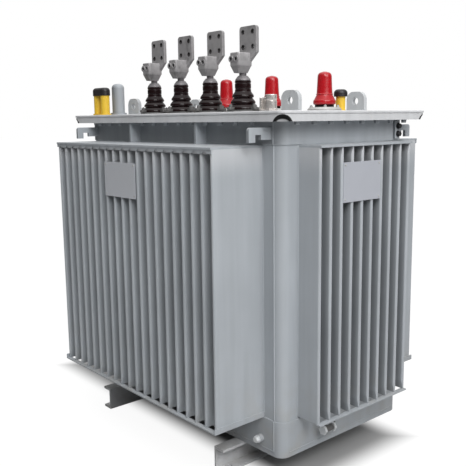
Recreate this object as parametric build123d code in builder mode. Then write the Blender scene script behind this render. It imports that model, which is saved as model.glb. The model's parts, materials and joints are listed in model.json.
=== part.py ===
# Oil-immersed distribution transformer with a corrugated tank.
# Frame: X runs along the tank, the low-voltage side faces -Y, Z is up.
# The origin is on the ground under the middle of the tank. Millimetres.
import os

from build123d import *

# Skids: two rolled channels under the tank, open outwards
skid_height = 80
skid_flange = 43
skid_web = 6
skid_flange_thickness = 8
skid_gauge = 670
skid_overhang = 91
skid_hole_diameter = 18
skid_hole_inset = 41

# Tank: sheet walls with a lower and an upper band
tank_length = 1038
tank_width = 560
tank_height = 1000
wall_thickness = 4
corner_radius = 30
floor_thickness = 16
band_proud = 3
lower_band = 112
upper_band = 65

# Cooling fins: hollow folds of a corrugated sheet on each wall
fin_thickness = 12
fin_sheet = 1.5
fin_pinch_height = 26
fin_pinch_depth = 3.5
bank_gap = 2
long_fin_count = 20
long_fin_depth = 187
long_bank_margin = 75
end_fin_count = 10
end_fin_depth = 83
end_bank_margin = 68.5

# Plates and bars that close the fin banks
bank_cap_thickness = 6
bank_cap_lip = 5
scallop_height = 11
scallop_rise = 6
scallop_thickness = 3
rail_width = 16
rail_lip = 8
rail_thickness = 4
strip_height = 17
strip_thickness = 3

# Flange, gasket and cover
cover_overhang_x = 56
cover_overhang_y = 50
cover_thickness = 7
cover_corner_radius = 22
cover_edge_radius = 3
flange_thickness = 20
flange_setback = 2
corner_relief_radius = 32
corner_relief_drop = 14
gasket_thickness = 2
gasket_setback = 3

# Gussets under the flange and lashing hooks at the corners
gusset_offset = 185
gusset_depth = 40
gusset_thickness = 8
hook_inset = 20
hook_thickness = 10
hook_reach = 86
hook_top_gap = 16
hook_depth = 41
hook_tip = 24
hook_arm = 20
hook_root = 40
hook_root_depth = 34
hook_corner_radius = 9

# Lifting lugs on the cover
lug_clearance = 23
lug_front_inset = 136
lug_back_inset = 122
lug_width = 72
lug_height = 62
lug_thickness = 14
lug_corner_radius = 26
lug_hole_diameter = 24
lug_hole_height = 32

# Low-voltage bushings
lv_count = 4
lv_pitch = 162
lv_wall_gap = 106
lv_ring_diameter = 106
lv_ring_thickness = 7
lv_base_diameter = 88
lv_core_diameter = 51
lv_shed_count = 3
lv_shed_pitch = 19
lv_shed_taper = 10
lv_shed_rim = 7
lv_shed_undercut = 5
lv_insulator_height = 90
lv_cap_diameter = 49
lv_cap_rim = 4
lv_cap_height = 15
lv_stud_diameter = 20
lv_stud_height = 8

# Low-voltage terminal clamps with their flag palms
clamp_length = 44
clamp_depth = 58
clamp_height = 62
clamp_edge_radius = 9
clamp_top_radius = 4
clamp_cup_height = 22
clamp_cup_taper = 26
clamp_shift_y = 8
clamp_slot = 4
clamp_slot_inset = 16
clamp_boss_diameter = 20
clamp_boss_length = 3
clamp_recess_diameter = 12
clamp_recess_depth = 6
clamp_bolt_spacing = 23
palm_width = 77
palm_height = 80
palm_thickness = 11
palm_shift_x = 13
palm_neck_inset = 4
palm_neck_drop = 28
palm_neck_height = 40
palm_corner_radius = 10
palm_hole_diameter = 13
palm_hole_spacing = 45

# High-voltage bushings with their boots
hv_count = 3
hv_pitch = 261
hv_wall_gap = 94
hv_flange_diameter = 118
hv_flange_thickness = 16
hv_flange_chamfer = 7
hv_foot_diameter = 66
hv_foot_height = 9
hv_body_diameter = 38
hv_boot_skirt_diameter = 78
hv_boot_skirt_height = 15
hv_boot_rim_radius = 6
hv_boot_flare_height = 27
hv_boot_flare_share = 0.4
hv_boot_barrel_diameter = 53
hv_boot_tip_diameter = 49
hv_boot_height = 111
hv_boot_dome_radius = 17
hv_boot_crown = 16
hv_boot_clearance = 0.5

# Fittings on the cover
fitting_clearance = 3
pocket_bearing = 20
pocket_diameter = 18
pocket_height = 44
pocket_flange_diameter = 26
pocket_flange_height = 8
gauge_diameter = 36
gauge_height = 52
gauge_collar_diameter = 42
gauge_collar_height = 8
changer_bearing = 87
changer_clearance = 2
changer_diameter = 33
changer_height = 53
changer_flange_diameter = 38
changer_flange_height = 7
changer_cap_diameter = 48
changer_cap_height = 25
changer_cap_radius = 14
relief_inset_x = 27
relief_inset_y = 30
relief_tube_spacing = 50
relief_tube_diameter = 34
relief_height = 74
relief_flange_width = 44
relief_flange_height = 6
relief_cap_width = 40
relief_cap_height = 30
relief_cap_radius = 13
breather_inset_x = 42
breather_inset_y = 95
breather_diameter = 48
breather_height = 120
breather_dome_radius = 18
breather_flange_diameter = 62
breather_flange_height = 9

# Drain valve, earthing bosses and plates
drain_offset_y = 110
drain_height_share = 0.53
drain_stub_diameter = 16
drain_reach = 30
drain_body_diameter = 20
drain_body_length = 48
drain_nut_diameter = 28
drain_nut_sides = 6
drain_nut_length = 10
earth_inset = 85
earth_height_share = 0.38
earth_boss_diameter = 26
earth_boss_length = 14
earth_pad_inset = 13
earth_pad_width = 24
earth_pad_margin = 5
earth_pad_thickness = 8
plate_thickness = 2
plate_clearance = 0.2
front_plate_width = 182
front_plate_height = 112
front_plate_shift = 26
front_plate_drop = 51
end_plate_width = 170
end_plate_height = 116
end_plate_shift = 28
end_plate_drop = 45

# Levels and spans that follow from the sizes above
wall_foot = skid_height + floor_thickness
wall_rise = tank_height - floor_thickness
flange_level = skid_height + tank_height
gasket_level = flange_level + flange_thickness
cover_level = gasket_level + gasket_thickness
cover_top = cover_level + cover_thickness
lower_band_top = skid_height + lower_band
upper_band_foot = flange_level - upper_band
bands = ((wall_foot, lower_band - floor_thickness), (upper_band_foot, upper_band))
fin_foot = lower_band_top + bank_gap + rail_thickness
bank_top = upper_band_foot - bank_gap
fin_top = bank_top - bank_cap_thickness
fin_height = fin_top - fin_foot
skid_length = tank_width + 2 * skid_overhang
seam_span = tank_length - 2 * corner_radius
band_length = tank_length + 2 * band_proud
band_width = tank_width + 2 * band_proud
cover_length = tank_length + 2 * cover_overhang_x
cover_width = tank_width + 2 * cover_overhang_y
flange_length = cover_length - 2 * flange_setback
flange_width = cover_width - 2 * flange_setback
inner_length = tank_length - 2 * wall_thickness
inner_width = tank_width - 2 * wall_thickness
long_bank_length = tank_length - 2 * long_bank_margin
end_bank_length = tank_width - 2 * end_bank_margin
long_fin_pitch = (long_bank_length - fin_thickness) / (long_fin_count - 1)
end_fin_pitch = (end_bank_length - fin_thickness) / (end_fin_count - 1)
long_fin_front = tank_width / 2 + long_fin_depth
end_fin_front = tank_length / 2 + end_fin_depth
fin_bore = fin_thickness - 2 * fin_sheet
lv_row_offset = tank_width / 2 - lv_wall_gap
hv_row_offset = tank_width / 2 - hv_wall_gap
sides = (-1, 1)

os.makedirs("parts", exist_ok=True)


def save(piece, name):
    """Label a finished piece and write it as its own STEP file."""
    piece.part.label = name
    export_step(piece.part, f"parts/{name}.step")


def upright(x, y, z):
    """A plane that stands at a point and faces -Y, for turned profiles about a vertical line."""
    return Plane(origin=(x, y, z), x_dir=(1, 0, 0), z_dir=(0, -1, 0))


def turned(x, y, level, outline):
    """A turned piece: a closed half outline spun about a vertical line."""
    with BuildPart() as piece:
        with BuildSketch(upright(x, y, level)):
            with BuildLine():
                Polyline(*outline, close=True)
            make_face()
        revolve(axis=Axis((x, y, 0), (0, 0, 1)))
    return piece


# Skids: the open side of each channel faces outwards
with BuildPart() as skids:
    with BuildSketch(Plane.XZ.offset(-skid_length / 2)):
        with GridLocations(skid_gauge, 0, 2, 1):
            Rectangle(skid_flange, skid_height, align=(Align.CENTER, Align.MIN))
        with Locations((0, skid_flange_thickness)):
            with GridLocations(skid_gauge + skid_web, 0, 2, 1):
                Rectangle(
                    skid_flange - skid_web,
                    skid_height - 2 * skid_flange_thickness,
                    align=(Align.CENTER, Align.MIN),
                    mode=Mode.SUBTRACT,
                )
    extrude(amount=skid_length)
    with BuildSketch(Plane.XY):
        with GridLocations(skid_gauge + skid_web, skid_length - 2 * skid_hole_inset, 2, 2):
            Circle(skid_hole_diameter / 2)
    extrude(amount=skid_flange_thickness, mode=Mode.SUBTRACT)
save(skids, "skids")

# Floor plate
with BuildPart() as tank_floor:
    with BuildSketch(Plane.XY.offset(skid_height)):
        RectangleRounded(band_length, band_width, corner_radius + band_proud)
    extrude(amount=floor_thickness)
save(tank_floor, "tank_floor")

# Long walls: a flat sheet with two bands, slotted where the oil flows into the fins
with BuildPart() as front_wall:
    with BuildSketch(Plane.XY.offset(wall_foot)):
        with Locations((0, -tank_width / 2)):
            Rectangle(seam_span, wall_thickness, align=(Align.CENTER, Align.MIN))
    extrude(amount=wall_rise)
    for level, rise in bands:
        with BuildSketch(Plane.XY.offset(level)):
            with Locations((0, -tank_width / 2)):
                Rectangle(seam_span, band_proud, align=(Align.CENTER, Align.MAX))
        extrude(amount=rise)
    with BuildSketch(Plane.XY.offset(fin_foot + fin_pinch_height)):
        with Locations((0, -tank_width / 2)):
            with GridLocations(long_fin_pitch, 0, long_fin_count, 1):
                Rectangle(fin_bore, wall_thickness, align=(Align.CENTER, Align.MIN))
    extrude(amount=fin_height - 2 * fin_pinch_height, mode=Mode.SUBTRACT)
save(front_wall, "front_wall")

with BuildPart() as back_wall:
    mirror(front_wall.part, about=Plane.XZ)
save(back_wall, "back_wall")

# End walls: the sheet turns both round corners and meets the long walls at their seams
with BuildPart() as right_wall:
    with BuildSketch(Plane.XY.offset(wall_foot)):
        RectangleRounded(tank_length, tank_width, corner_radius)
        RectangleRounded(
            inner_length, inner_width, corner_radius - wall_thickness, mode=Mode.SUBTRACT
        )
        with Locations((tank_length / 2, 0)):
            Rectangle(
                corner_radius, band_width, align=(Align.MAX, Align.CENTER), mode=Mode.INTERSECT
            )
    extrude(amount=wall_rise)
    for level, rise in bands:
        with BuildSketch(Plane.XY.offset(level)):
            RectangleRounded(band_length, band_width, corner_radius + band_proud)
            RectangleRounded(tank_length, tank_width, corner_radius, mode=Mode.SUBTRACT)
            with Locations((band_length / 2, 0)):
                Rectangle(
                    corner_radius + band_proud,
                    band_width,
                    align=(Align.MAX, Align.CENTER),
                    mode=Mode.INTERSECT,
                )
        extrude(amount=rise)
    with BuildSketch(Plane.XY.offset(fin_foot + fin_pinch_height)):
        with Locations((tank_length / 2, 0)):
            with GridLocations(0, end_fin_pitch, 1, end_fin_count):
                Rectangle(wall_thickness, fin_bore, align=(Align.MAX, Align.CENTER))
    extrude(amount=fin_height - 2 * fin_pinch_height, mode=Mode.SUBTRACT)
save(right_wall, "right_wall")

with BuildPart() as left_wall:
    mirror(right_wall.part, about=Plane.YZ)
save(left_wall, "left_wall")


def fin_bank(length, depth, count, pitch, back):
    """A corrugated panel on the plane `back`: a sheet with hollow folds that end in round noses.

    The folds are open at the back, where the oil flows in. At the top and the foot they are pressed
    together and closed, so the gaps between them widen there.
    """
    gap = pitch - fin_thickness
    with BuildPart() as bank:
        with BuildSketch(back):
            Rectangle(length, fin_sheet, align=(Align.CENTER, Align.MAX))
            with GridLocations(pitch, 0, count, 1):
                Rectangle(fin_thickness, depth - fin_thickness / 2, align=(Align.CENTER, Align.MAX))
            with Locations((0, fin_thickness / 2 - depth)):
                with GridLocations(pitch, 0, count, 1):
                    Circle(fin_thickness / 2)
        extrude(amount=fin_height)
        with BuildSketch(back.offset(fin_pinch_height)):
            with GridLocations(pitch, 0, count, 1):
                Rectangle(fin_bore, depth - fin_thickness / 2, align=(Align.CENTER, Align.MAX))
            with Locations((0, fin_thickness / 2 - depth)):
                with GridLocations(pitch, 0, count, 1):
                    Circle(fin_bore / 2)
        extrude(amount=fin_height - 2 * fin_pinch_height, mode=Mode.SUBTRACT)
        outward = Plane(origin=back.origin, x_dir=back.x_dir, z_dir=-back.y_dir)
        with BuildSketch(outward.offset(fin_sheet)):
            for level, rise in ((0, fin_pinch_height), (fin_height, -fin_pinch_height)):
                with Locations((0, level)):
                    with GridLocations(pitch, 0, count - 1, 1):
                        for side in sides:
                            Polygon(
                                (side * gap / 2, 0),
                                (side * (gap / 2 + fin_pinch_depth), 0),
                                (side * gap / 2, rise),
                                align=None,
                            )
        extrude(amount=depth - fin_sheet, mode=Mode.SUBTRACT)
    return bank


# Corrugated panels with the cooling fins
front_fins = fin_bank(
    long_bank_length,
    long_fin_depth,
    long_fin_count,
    long_fin_pitch,
    Plane(origin=(0, -tank_width / 2, fin_foot)),
)
save(front_fins, "front_fins")

with BuildPart() as back_fins:
    mirror(front_fins.part, about=Plane.XZ)
save(back_fins, "back_fins")

right_fins = fin_bank(
    end_bank_length,
    end_fin_depth,
    end_fin_count,
    end_fin_pitch,
    Plane(origin=(tank_length / 2, 0, fin_foot), x_dir=(0, 1, 0)),
)
save(right_fins, "right_fins")

with BuildPart() as left_fins:
    mirror(right_fins.part, about=Plane.YZ)
save(left_fins, "left_fins")

# Cap plates over the fins, with a scalloped strip that closes the gaps between the deep fins at the top
long_fin_gap = long_fin_pitch - fin_thickness
with BuildPart() as fin_bank_caps:
    with BuildSketch(Plane.XY.offset(fin_top)):
        for side in sides:
            with Locations((0, side * (long_fin_front + bank_cap_lip + tank_width / 2) / 2)):
                Rectangle(long_bank_length, long_fin_depth + bank_cap_lip)
            with Locations((side * (end_fin_front + bank_cap_lip + tank_length / 2) / 2, 0)):
                Rectangle(end_fin_depth + bank_cap_lip, end_bank_length)
    extrude(amount=bank_cap_thickness)
    for side in sides:
        with BuildSketch(Plane.XZ.offset(side * long_fin_front)):
            with Locations((0, fin_top)):
                Rectangle(long_bank_length, scallop_height, align=(Align.CENTER, Align.MAX))
            with Locations((0, fin_top - scallop_height + scallop_rise - long_fin_gap / 2)):
                with GridLocations(long_fin_pitch, 0, long_fin_count - 1, 1):
                    Circle(long_fin_gap / 2, mode=Mode.SUBTRACT)
        extrude(amount=side * scallop_thickness)
save(fin_bank_caps, "fin_bank_caps")

# Flat bars under the noses of the fins, and strips along the foot of the bank ends
with BuildPart() as fin_bank_rails:
    with BuildSketch(Plane.XY.offset(fin_foot - rail_thickness)):
        for side in sides:
            with Locations((0, side * (long_fin_front + rail_lip - rail_width / 2))):
                Rectangle(long_bank_length, rail_width)
            with Locations((side * (end_fin_front + rail_lip - rail_width / 2), 0)):
                Rectangle(rail_width, end_bank_length)
    extrude(amount=rail_thickness)
save(fin_bank_rails, "fin_bank_rails")

with BuildPart() as fin_bank_strips:
    with BuildSketch(Plane.XY.offset(fin_foot - rail_thickness)):
        with GridLocations(
            long_bank_length + strip_thickness, tank_width + long_fin_depth + rail_lip, 2, 2
        ):
            Rectangle(strip_thickness, long_fin_depth + rail_lip)
    extrude(amount=strip_height)
save(fin_bank_strips, "fin_bank_strips")

# Tank flange: two long bars with a ball-shaped hollow under each corner, and two bars between them
end_bar_width = (flange_length - inner_length) / 2
with BuildPart() as flange_long_bars:
    with BuildSketch(Plane.XY.offset(flange_level)):
        RectangleRounded(flange_length, flange_width, cover_corner_radius)
        Rectangle(flange_length, inner_width, mode=Mode.SUBTRACT)
    extrude(amount=flange_thickness)
    with Locations((0, 0, flange_level - corner_relief_drop)):
        with GridLocations(flange_length, flange_width, 2, 2):
            Sphere(corner_relief_radius, mode=Mode.SUBTRACT)
save(flange_long_bars, "flange_long_bars")

with BuildPart() as flange_end_bars:
    with BuildSketch(Plane.XY.offset(flange_level)):
        with GridLocations(inner_length + end_bar_width, 0, 2, 1):
            Rectangle(end_bar_width, inner_width)
    extrude(amount=flange_thickness)
save(flange_end_bars, "flange_end_bars")

# Gasket ring and cover plate
with BuildPart() as cover_gasket:
    with BuildSketch(Plane.XY.offset(gasket_level)):
        RectangleRounded(
            cover_length - 2 * gasket_setback,
            cover_width - 2 * gasket_setback,
            cover_corner_radius,
        )
        Rectangle(inner_length, inner_width, mode=Mode.SUBTRACT)
    extrude(amount=gasket_thickness)
save(cover_gasket, "cover_gasket")

with BuildPart() as cover:
    with BuildSketch(Plane.XY.offset(cover_level)):
        RectangleRounded(cover_length, cover_width, cover_corner_radius)
    extrude(amount=cover_thickness)
    fillet(cover.edges().group_by(Axis.Z)[-1], cover_edge_radius)
save(cover, "cover")

# Gussets between the fin banks and the flange
with BuildPart() as flange_gussets:
    with BuildSketch(Plane.XY.offset(bank_top)):
        with GridLocations(2 * gusset_offset, band_width + gusset_depth, 2, 2):
            Rectangle(gusset_thickness, gusset_depth)
    extrude(amount=flange_level - bank_top)
save(flange_gussets, "flange_gussets")

# Lashing hooks: inverted J plates on the upper band
with BuildPart() as lashing_hooks:
    for side in sides:
        with BuildSketch(Plane.YZ.offset(side * (tank_length / 2 - corner_radius - hook_inset / 2))):
            with BuildLine():
                Polyline(
                    (band_width / 2, flange_level - hook_top_gap),
                    (band_width / 2 + hook_reach, flange_level - hook_top_gap),
                    (band_width / 2 + hook_reach, flange_level - hook_top_gap - hook_depth),
                    (band_width / 2 + hook_reach - hook_tip, flange_level - hook_top_gap - hook_depth),
                    (band_width / 2 + hook_reach - hook_tip, flange_level - hook_top_gap - hook_arm),
                    (band_width / 2 + hook_root, flange_level - hook_top_gap - hook_arm),
                    (band_width / 2 + hook_root, flange_level - hook_top_gap - hook_root_depth),
                    (band_width / 2, flange_level - hook_top_gap - hook_root_depth),
                    close=True,
                )
            make_face()
            mirror(about=Plane.YZ)
        extrude(amount=hook_thickness / 2, both=True)
    outer_edges = lashing_hooks.edges().filter_by(Axis.X).group_by(Axis.Z)[-1].sort_by(Axis.Y)
    fillet([*outer_edges[:2], *outer_edges[-2:]], hook_corner_radius)
save(lashing_hooks, "lashing_hooks")

# Low-voltage bushings
lv_places = [((index - (lv_count - 1) / 2) * lv_pitch, -lv_row_offset) for index in range(lv_count)]
lv_foot = cover_top + lv_ring_thickness
lv_cap_level = lv_foot + lv_insulator_height
lv_clamp_level = lv_cap_level + lv_cap_height + lv_stud_height

with BuildPart() as lv_clamp_rings:
    with BuildSketch(Plane.XY.offset(cover_top)):
        with Locations(*lv_places):
            Circle(lv_ring_diameter / 2)
    extrude(amount=lv_ring_thickness)
save(lv_clamp_rings, "lv_clamp_rings")

lv_shed_radii = [(lv_base_diameter - shed * lv_shed_taper) / 2 for shed in range(lv_shed_count)]
lv_neck_radii = [radius - lv_shed_undercut for radius in lv_shed_radii[1:]] + [lv_core_diameter / 2]
lv_outline = [(0, 0)]
for shed, (rim_radius, neck_radius) in enumerate(zip(lv_shed_radii, lv_neck_radii)):
    lv_outline.append((rim_radius, shed * lv_shed_pitch))
    lv_outline.append((rim_radius, shed * lv_shed_pitch + lv_shed_rim))
    lv_outline.append((neck_radius, (shed + 1) * lv_shed_pitch))
lv_outline.append((lv_core_diameter / 2, lv_insulator_height))
lv_outline.append((0, lv_insulator_height))

for number, (x, y) in enumerate(lv_places, start=1):
    lv_insulator = turned(x, y, lv_foot, lv_outline)
    save(lv_insulator, f"lv_insulator_{number}")

# Domed metal caps with the studs that carry the terminals
with BuildPart() as lv_caps:
    for x, y in lv_places:
        with BuildSketch(upright(x, y, lv_cap_level)):
            with BuildLine():
                Polyline((0, 0), (lv_cap_diameter / 2, 0), (lv_cap_diameter / 2, lv_cap_rim))
                dome = TangentArc(
                    (lv_cap_diameter / 2, lv_cap_rim),
                    (lv_stud_diameter / 2, lv_cap_height),
                    tangent=(0, 1),
                )
                Polyline(
                    dome @ 1,
                    (lv_stud_diameter / 2, lv_cap_height + lv_stud_height),
                    (0, lv_cap_height + lv_stud_height),
                    (0, 0),
                )
            make_face()
        revolve(axis=Axis((x, y, 0), (0, 0, 1)))
save(lv_caps, "lv_caps")

# Terminal clamps: a split block that tapers to the stud, and a drilled palm on a slanting neck
palm_left = palm_shift_x - palm_width / 2
palm_right = palm_shift_x + palm_width / 2
neck_right = clamp_length / 2 - palm_neck_inset
palm_foot = lv_clamp_level + clamp_height
for number, (x, y) in enumerate(lv_places, start=1):
    clamp_front = y - clamp_shift_y - clamp_depth / 2
    palm_back = y - clamp_shift_y + clamp_depth / 2
    with BuildPart() as lv_terminal:
        with BuildSketch(Plane.XY.offset(lv_clamp_level + clamp_cup_height)):
            with Locations((x, y - clamp_shift_y)):
                RectangleRounded(clamp_length, clamp_depth, clamp_edge_radius)
        extrude(amount=clamp_height - clamp_cup_height)
        fillet(faces().sort_by(Axis.Z)[-1].edges(), clamp_top_radius)
        extrude(faces().sort_by(Axis.Z)[0], amount=clamp_cup_height, taper=clamp_cup_taper)
        with BuildSketch(Plane.XY.offset(lv_clamp_level)):
            with Locations((x - clamp_length / 2, y)):
                Rectangle(clamp_length - clamp_slot_inset, clamp_slot, align=(Align.MIN, Align.CENTER))
        extrude(amount=clamp_height, mode=Mode.SUBTRACT)
        with BuildSketch(Plane.XZ.offset(-clamp_front)):
            with Locations((x, palm_foot - (clamp_height - clamp_cup_height) / 2)):
                bolt_places = GridLocations(clamp_bolt_spacing, 0, 2, 1)
                with bolt_places:
                    Circle(clamp_boss_diameter / 2)
        extrude(amount=clamp_boss_length)
        with BuildSketch(Plane.XZ.offset(clamp_boss_length - clamp_front)):
            with Locations((x, palm_foot - (clamp_height - clamp_cup_height) / 2)):
                with bolt_places:
                    Circle(clamp_recess_diameter / 2)
        extrude(amount=-clamp_recess_depth, mode=Mode.SUBTRACT)
        with BuildSketch(upright(x, palm_back, palm_foot)):
            with BuildLine():
                Polyline(
                    (palm_left, palm_height),
                    (palm_right, palm_height),
                    (palm_right, 0),
                    (neck_right, -palm_neck_drop),
                    (neck_right, -palm_neck_height),
                    (palm_left + palm_neck_inset, -palm_neck_height),
                    (palm_left, 0),
                    close=True,
                )
            make_face()
            fillet(vertices().group_by(Axis.Y)[-1], palm_corner_radius)
            with Locations((palm_shift_x, palm_height / 2)):
                with GridLocations(palm_hole_spacing, palm_hole_spacing, 2, 2):
                    Circle(palm_hole_diameter / 2, mode=Mode.SUBTRACT)
        extrude(amount=palm_thickness)
    save(lv_terminal, f"lv_terminal_{number}")

# High-voltage bushings: steel flange, dark foot and body, and a red boot over the body
hv_places = [((index - (hv_count - 1) / 2) * hv_pitch, hv_row_offset) for index in range(hv_count)]
hv_foot_level = cover_top + hv_flange_thickness
hv_boot_level = hv_foot_level + hv_foot_height

with BuildPart() as hv_flanges:
    with BuildSketch(Plane.XY.offset(cover_top)):
        with Locations(*hv_places):
            Circle(hv_flange_diameter / 2)
    extrude(amount=hv_flange_thickness)
    chamfer(hv_flanges.edges().group_by(Axis.Z)[-1], hv_flange_chamfer)
save(hv_flanges, "hv_flanges")

with BuildPart() as hv_insulators:
    with BuildSketch(Plane.XY.offset(hv_foot_level)):
        with Locations(*hv_places):
            Circle(hv_foot_diameter / 2)
    extrude(amount=hv_foot_height)
    with BuildSketch(Plane.XY.offset(hv_boot_level)):
        with Locations(*hv_places):
            Circle(hv_body_diameter / 2)
    extrude(amount=hv_boot_height - hv_boot_crown - hv_boot_clearance)
save(hv_insulators, "hv_insulators")

hv_boot_bore = hv_body_diameter / 2 + hv_boot_clearance
hv_boot_barrel_level = hv_boot_skirt_height + hv_boot_flare_height
for number, (x, y) in enumerate(hv_places, start=1):
    with BuildPart() as hv_boot:
        with BuildSketch(upright(x, y, hv_boot_level)):
            with BuildLine():
                foot = Line((hv_boot_bore, 0), (hv_boot_skirt_diameter / 2 - hv_boot_rim_radius, 0))
                rim = TangentArc(
                    foot @ 1, (hv_boot_skirt_diameter / 2, hv_boot_rim_radius), tangent=foot % 1
                )
                skirt = Line(rim @ 1, (hv_boot_skirt_diameter / 2, hv_boot_skirt_height))
                flare = Bezier(
                    skirt @ 1,
                    (
                        hv_boot_barrel_diameter / 2,
                        hv_boot_skirt_height + hv_boot_flare_height * hv_boot_flare_share,
                    ),
                    (hv_boot_barrel_diameter / 2, hv_boot_barrel_level),
                )
                barrel = Line(flare @ 1, (hv_boot_tip_diameter / 2, hv_boot_height - hv_boot_dome_radius))
                dome = TangentArc(
                    barrel @ 1,
                    (hv_boot_tip_diameter / 2 - hv_boot_dome_radius, hv_boot_height),
                    tangent=barrel % 1,
                )
                Polyline(
                    dome @ 1,
                    (0, hv_boot_height),
                    (0, hv_boot_height - hv_boot_crown),
                    (hv_boot_bore, hv_boot_height - hv_boot_crown),
                    foot @ 0,
                )
            make_face()
        revolve(axis=Axis((x, y, 0), (0, 0, 1)))
    save(hv_boot, f"hv_boot_{number}")

# Thermometer pocket and oil gauge beside the last low-voltage bushing
lv_last_x, lv_last_y = lv_places[-1]
pocket_reach = (lv_ring_diameter + pocket_flange_diameter) / 2 + fitting_clearance
pocket_place = Vector(lv_last_x, lv_last_y) + Vector(pocket_reach, 0).rotate(Axis.Z, pocket_bearing)
thermometer_pocket = turned(
    pocket_place.X,
    pocket_place.Y,
    cover_top,
    [
        (0, 0),
        (pocket_flange_diameter / 2, 0),
        (pocket_flange_diameter / 2, pocket_flange_height),
        (pocket_diameter / 2, pocket_flange_height),
        (pocket_diameter / 2, pocket_height),
        (0, pocket_height),
    ],
)
save(thermometer_pocket, "thermometer_pocket")

gauge_x = pocket_place.X + (pocket_flange_diameter + gauge_collar_diameter) / 2 + fitting_clearance
oil_gauge = turned(
    gauge_x,
    pocket_place.Y,
    cover_top,
    [
        (0, 0),
        (gauge_collar_diameter / 2, 0),
        (gauge_collar_diameter / 2, gauge_collar_height),
        (gauge_diameter / 2, gauge_collar_height),
        (gauge_diameter / 2, gauge_height),
        (0, gauge_height),
    ],
)
save(oil_gauge, "oil_gauge")

# Lifting lugs clear of the bushings and the gauge
lug_offset_x = gauge_x + (gauge_collar_diameter + lug_width) / 2 + lug_clearance
with BuildPart() as lifting_lugs:
    for lug_y in (lug_front_inset - tank_width / 2, tank_width / 2 - lug_back_inset):
        with BuildSketch(upright(0, lug_y, cover_top)):
            with GridLocations(2 * lug_offset_x, 0, 2, 1):
                Rectangle(lug_width, lug_height, align=(Align.CENTER, Align.MIN))
            fillet(vertices().group_by(Axis.Y)[-1], lug_corner_radius)
            with Locations((0, lug_hole_height)):
                with GridLocations(2 * lug_offset_x, 0, 2, 1):
                    Circle(lug_hole_diameter / 2, mode=Mode.SUBTRACT)
        extrude(amount=lug_thickness / 2, both=True)
save(lifting_lugs, "lifting_lugs")

# Tap changer behind the last high-voltage bushing
hv_last_x, hv_last_y = hv_places[-1]
changer_reach = (hv_flange_diameter + changer_flange_diameter) / 2 + changer_clearance
changer_place = Vector(hv_last_x, hv_last_y) + Vector(changer_reach, 0).rotate(Axis.Z, changer_bearing)
tap_changer = turned(
    changer_place.X,
    changer_place.Y,
    cover_top,
    [
        (0, 0),
        (changer_flange_diameter / 2, 0),
        (changer_flange_diameter / 2, changer_flange_height),
        (changer_diameter / 2, changer_flange_height),
        (changer_diameter / 2, changer_height),
        (0, changer_height),
    ],
)
save(tap_changer, "tap_changer")

with BuildPart() as tap_changer_cap:
    with BuildSketch(Plane.XY.offset(cover_top + changer_height)):
        with Locations((changer_place.X, changer_place.Y)):
            Circle(changer_cap_diameter / 2)
    extrude(amount=changer_cap_height)
    fillet(tap_changer_cap.edges().group_by(Axis.Z)[-1], changer_cap_radius)
save(tap_changer_cap, "tap_changer_cap")

# Pressure relief valve: two tubes on an oval flange, under one rounded cap
relief_place = (relief_inset_x - tank_length / 2, relief_inset_y - tank_width / 2)
with BuildPart() as relief_valve:
    with BuildSketch(Plane.XY.offset(cover_top)):
        with Locations(relief_place):
            SlotCenterToCenter(relief_tube_spacing, relief_flange_width)
    extrude(amount=relief_flange_height)
    with BuildSketch(Plane.XY.offset(cover_top + relief_flange_height)):
        with Locations(relief_place):
            with GridLocations(relief_tube_spacing, 0, 2, 1):
                Circle(relief_tube_diameter / 2)
    extrude(amount=relief_height - relief_flange_height)
save(relief_valve, "relief_valve")

with BuildPart() as relief_valve_cap:
    with BuildSketch(Plane.XY.offset(cover_top + relief_height)):
        with Locations(relief_place):
            SlotCenterToCenter(relief_tube_spacing, relief_cap_width)
    extrude(amount=relief_cap_height)
    fillet(relief_valve_cap.edges().group_by(Axis.Z)[-1], relief_cap_radius)
save(relief_valve_cap, "relief_valve_cap")

# Breather pipe with a round top
breather_place = (breather_inset_x - tank_length / 2, breather_inset_y - tank_width / 2)
with BuildPart() as breather:
    with BuildSketch(Plane.XY.offset(cover_top)):
        with Locations(breather_place):
            Circle(breather_flange_diameter / 2)
    extrude(amount=breather_flange_height)
    with BuildSketch(Plane.XY.offset(cover_top + breather_flange_height)):
        with Locations(breather_place):
            Circle(breather_diameter / 2)
    extrude(amount=breather_height - breather_flange_height)
    fillet(breather.edges().group_by(Axis.Z)[-1], breather_dome_radius)
save(breather, "breather")

# Drain valve: a stub from the lower band with a body across its end
drain_level = skid_height + lower_band * drain_height_share
with BuildPart() as drain_valve:
    with BuildSketch(Plane.YZ.offset(band_length / 2)):
        with Locations((-drain_offset_y, drain_level)):
            Circle(drain_stub_diameter / 2)
    extrude(amount=drain_reach)
    with BuildSketch(Plane.XZ.offset(drain_offset_y - drain_body_length / 2)):
        with Locations((band_length / 2 + drain_reach, drain_level)):
            Circle(drain_body_diameter / 2)
    extrude(amount=drain_body_length)
    with BuildSketch(Plane.XZ.offset(drain_offset_y + drain_body_length / 2 - drain_nut_length)):
        with Locations((band_length / 2 + drain_reach, drain_level)):
            RegularPolygon(drain_nut_diameter / 2, drain_nut_sides)
    extrude(amount=drain_nut_length)
save(drain_valve, "drain_valve")

# Earthing bosses on the lower band and a pad on the upper band
earth_x = tank_length / 2 - earth_inset
earth_level = skid_height + lower_band * earth_height_share
earth_pad_y = tank_width / 2 - corner_radius - earth_pad_inset
with BuildPart() as earth_terminals:
    for side in sides:
        with BuildSketch(Plane.XZ.offset(side * band_width / 2)):
            with Locations((side * earth_x, earth_level)):
                Circle(earth_boss_diameter / 2)
        extrude(amount=side * earth_boss_length)
    with BuildSketch(Plane.YZ.offset(band_length / 2)):
        with Locations((earth_pad_y, upper_band_foot + upper_band / 2)):
            Rectangle(earth_pad_width, upper_band - 2 * earth_pad_margin)
    extrude(amount=earth_pad_thickness)
save(earth_terminals, "earth_terminals")

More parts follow.
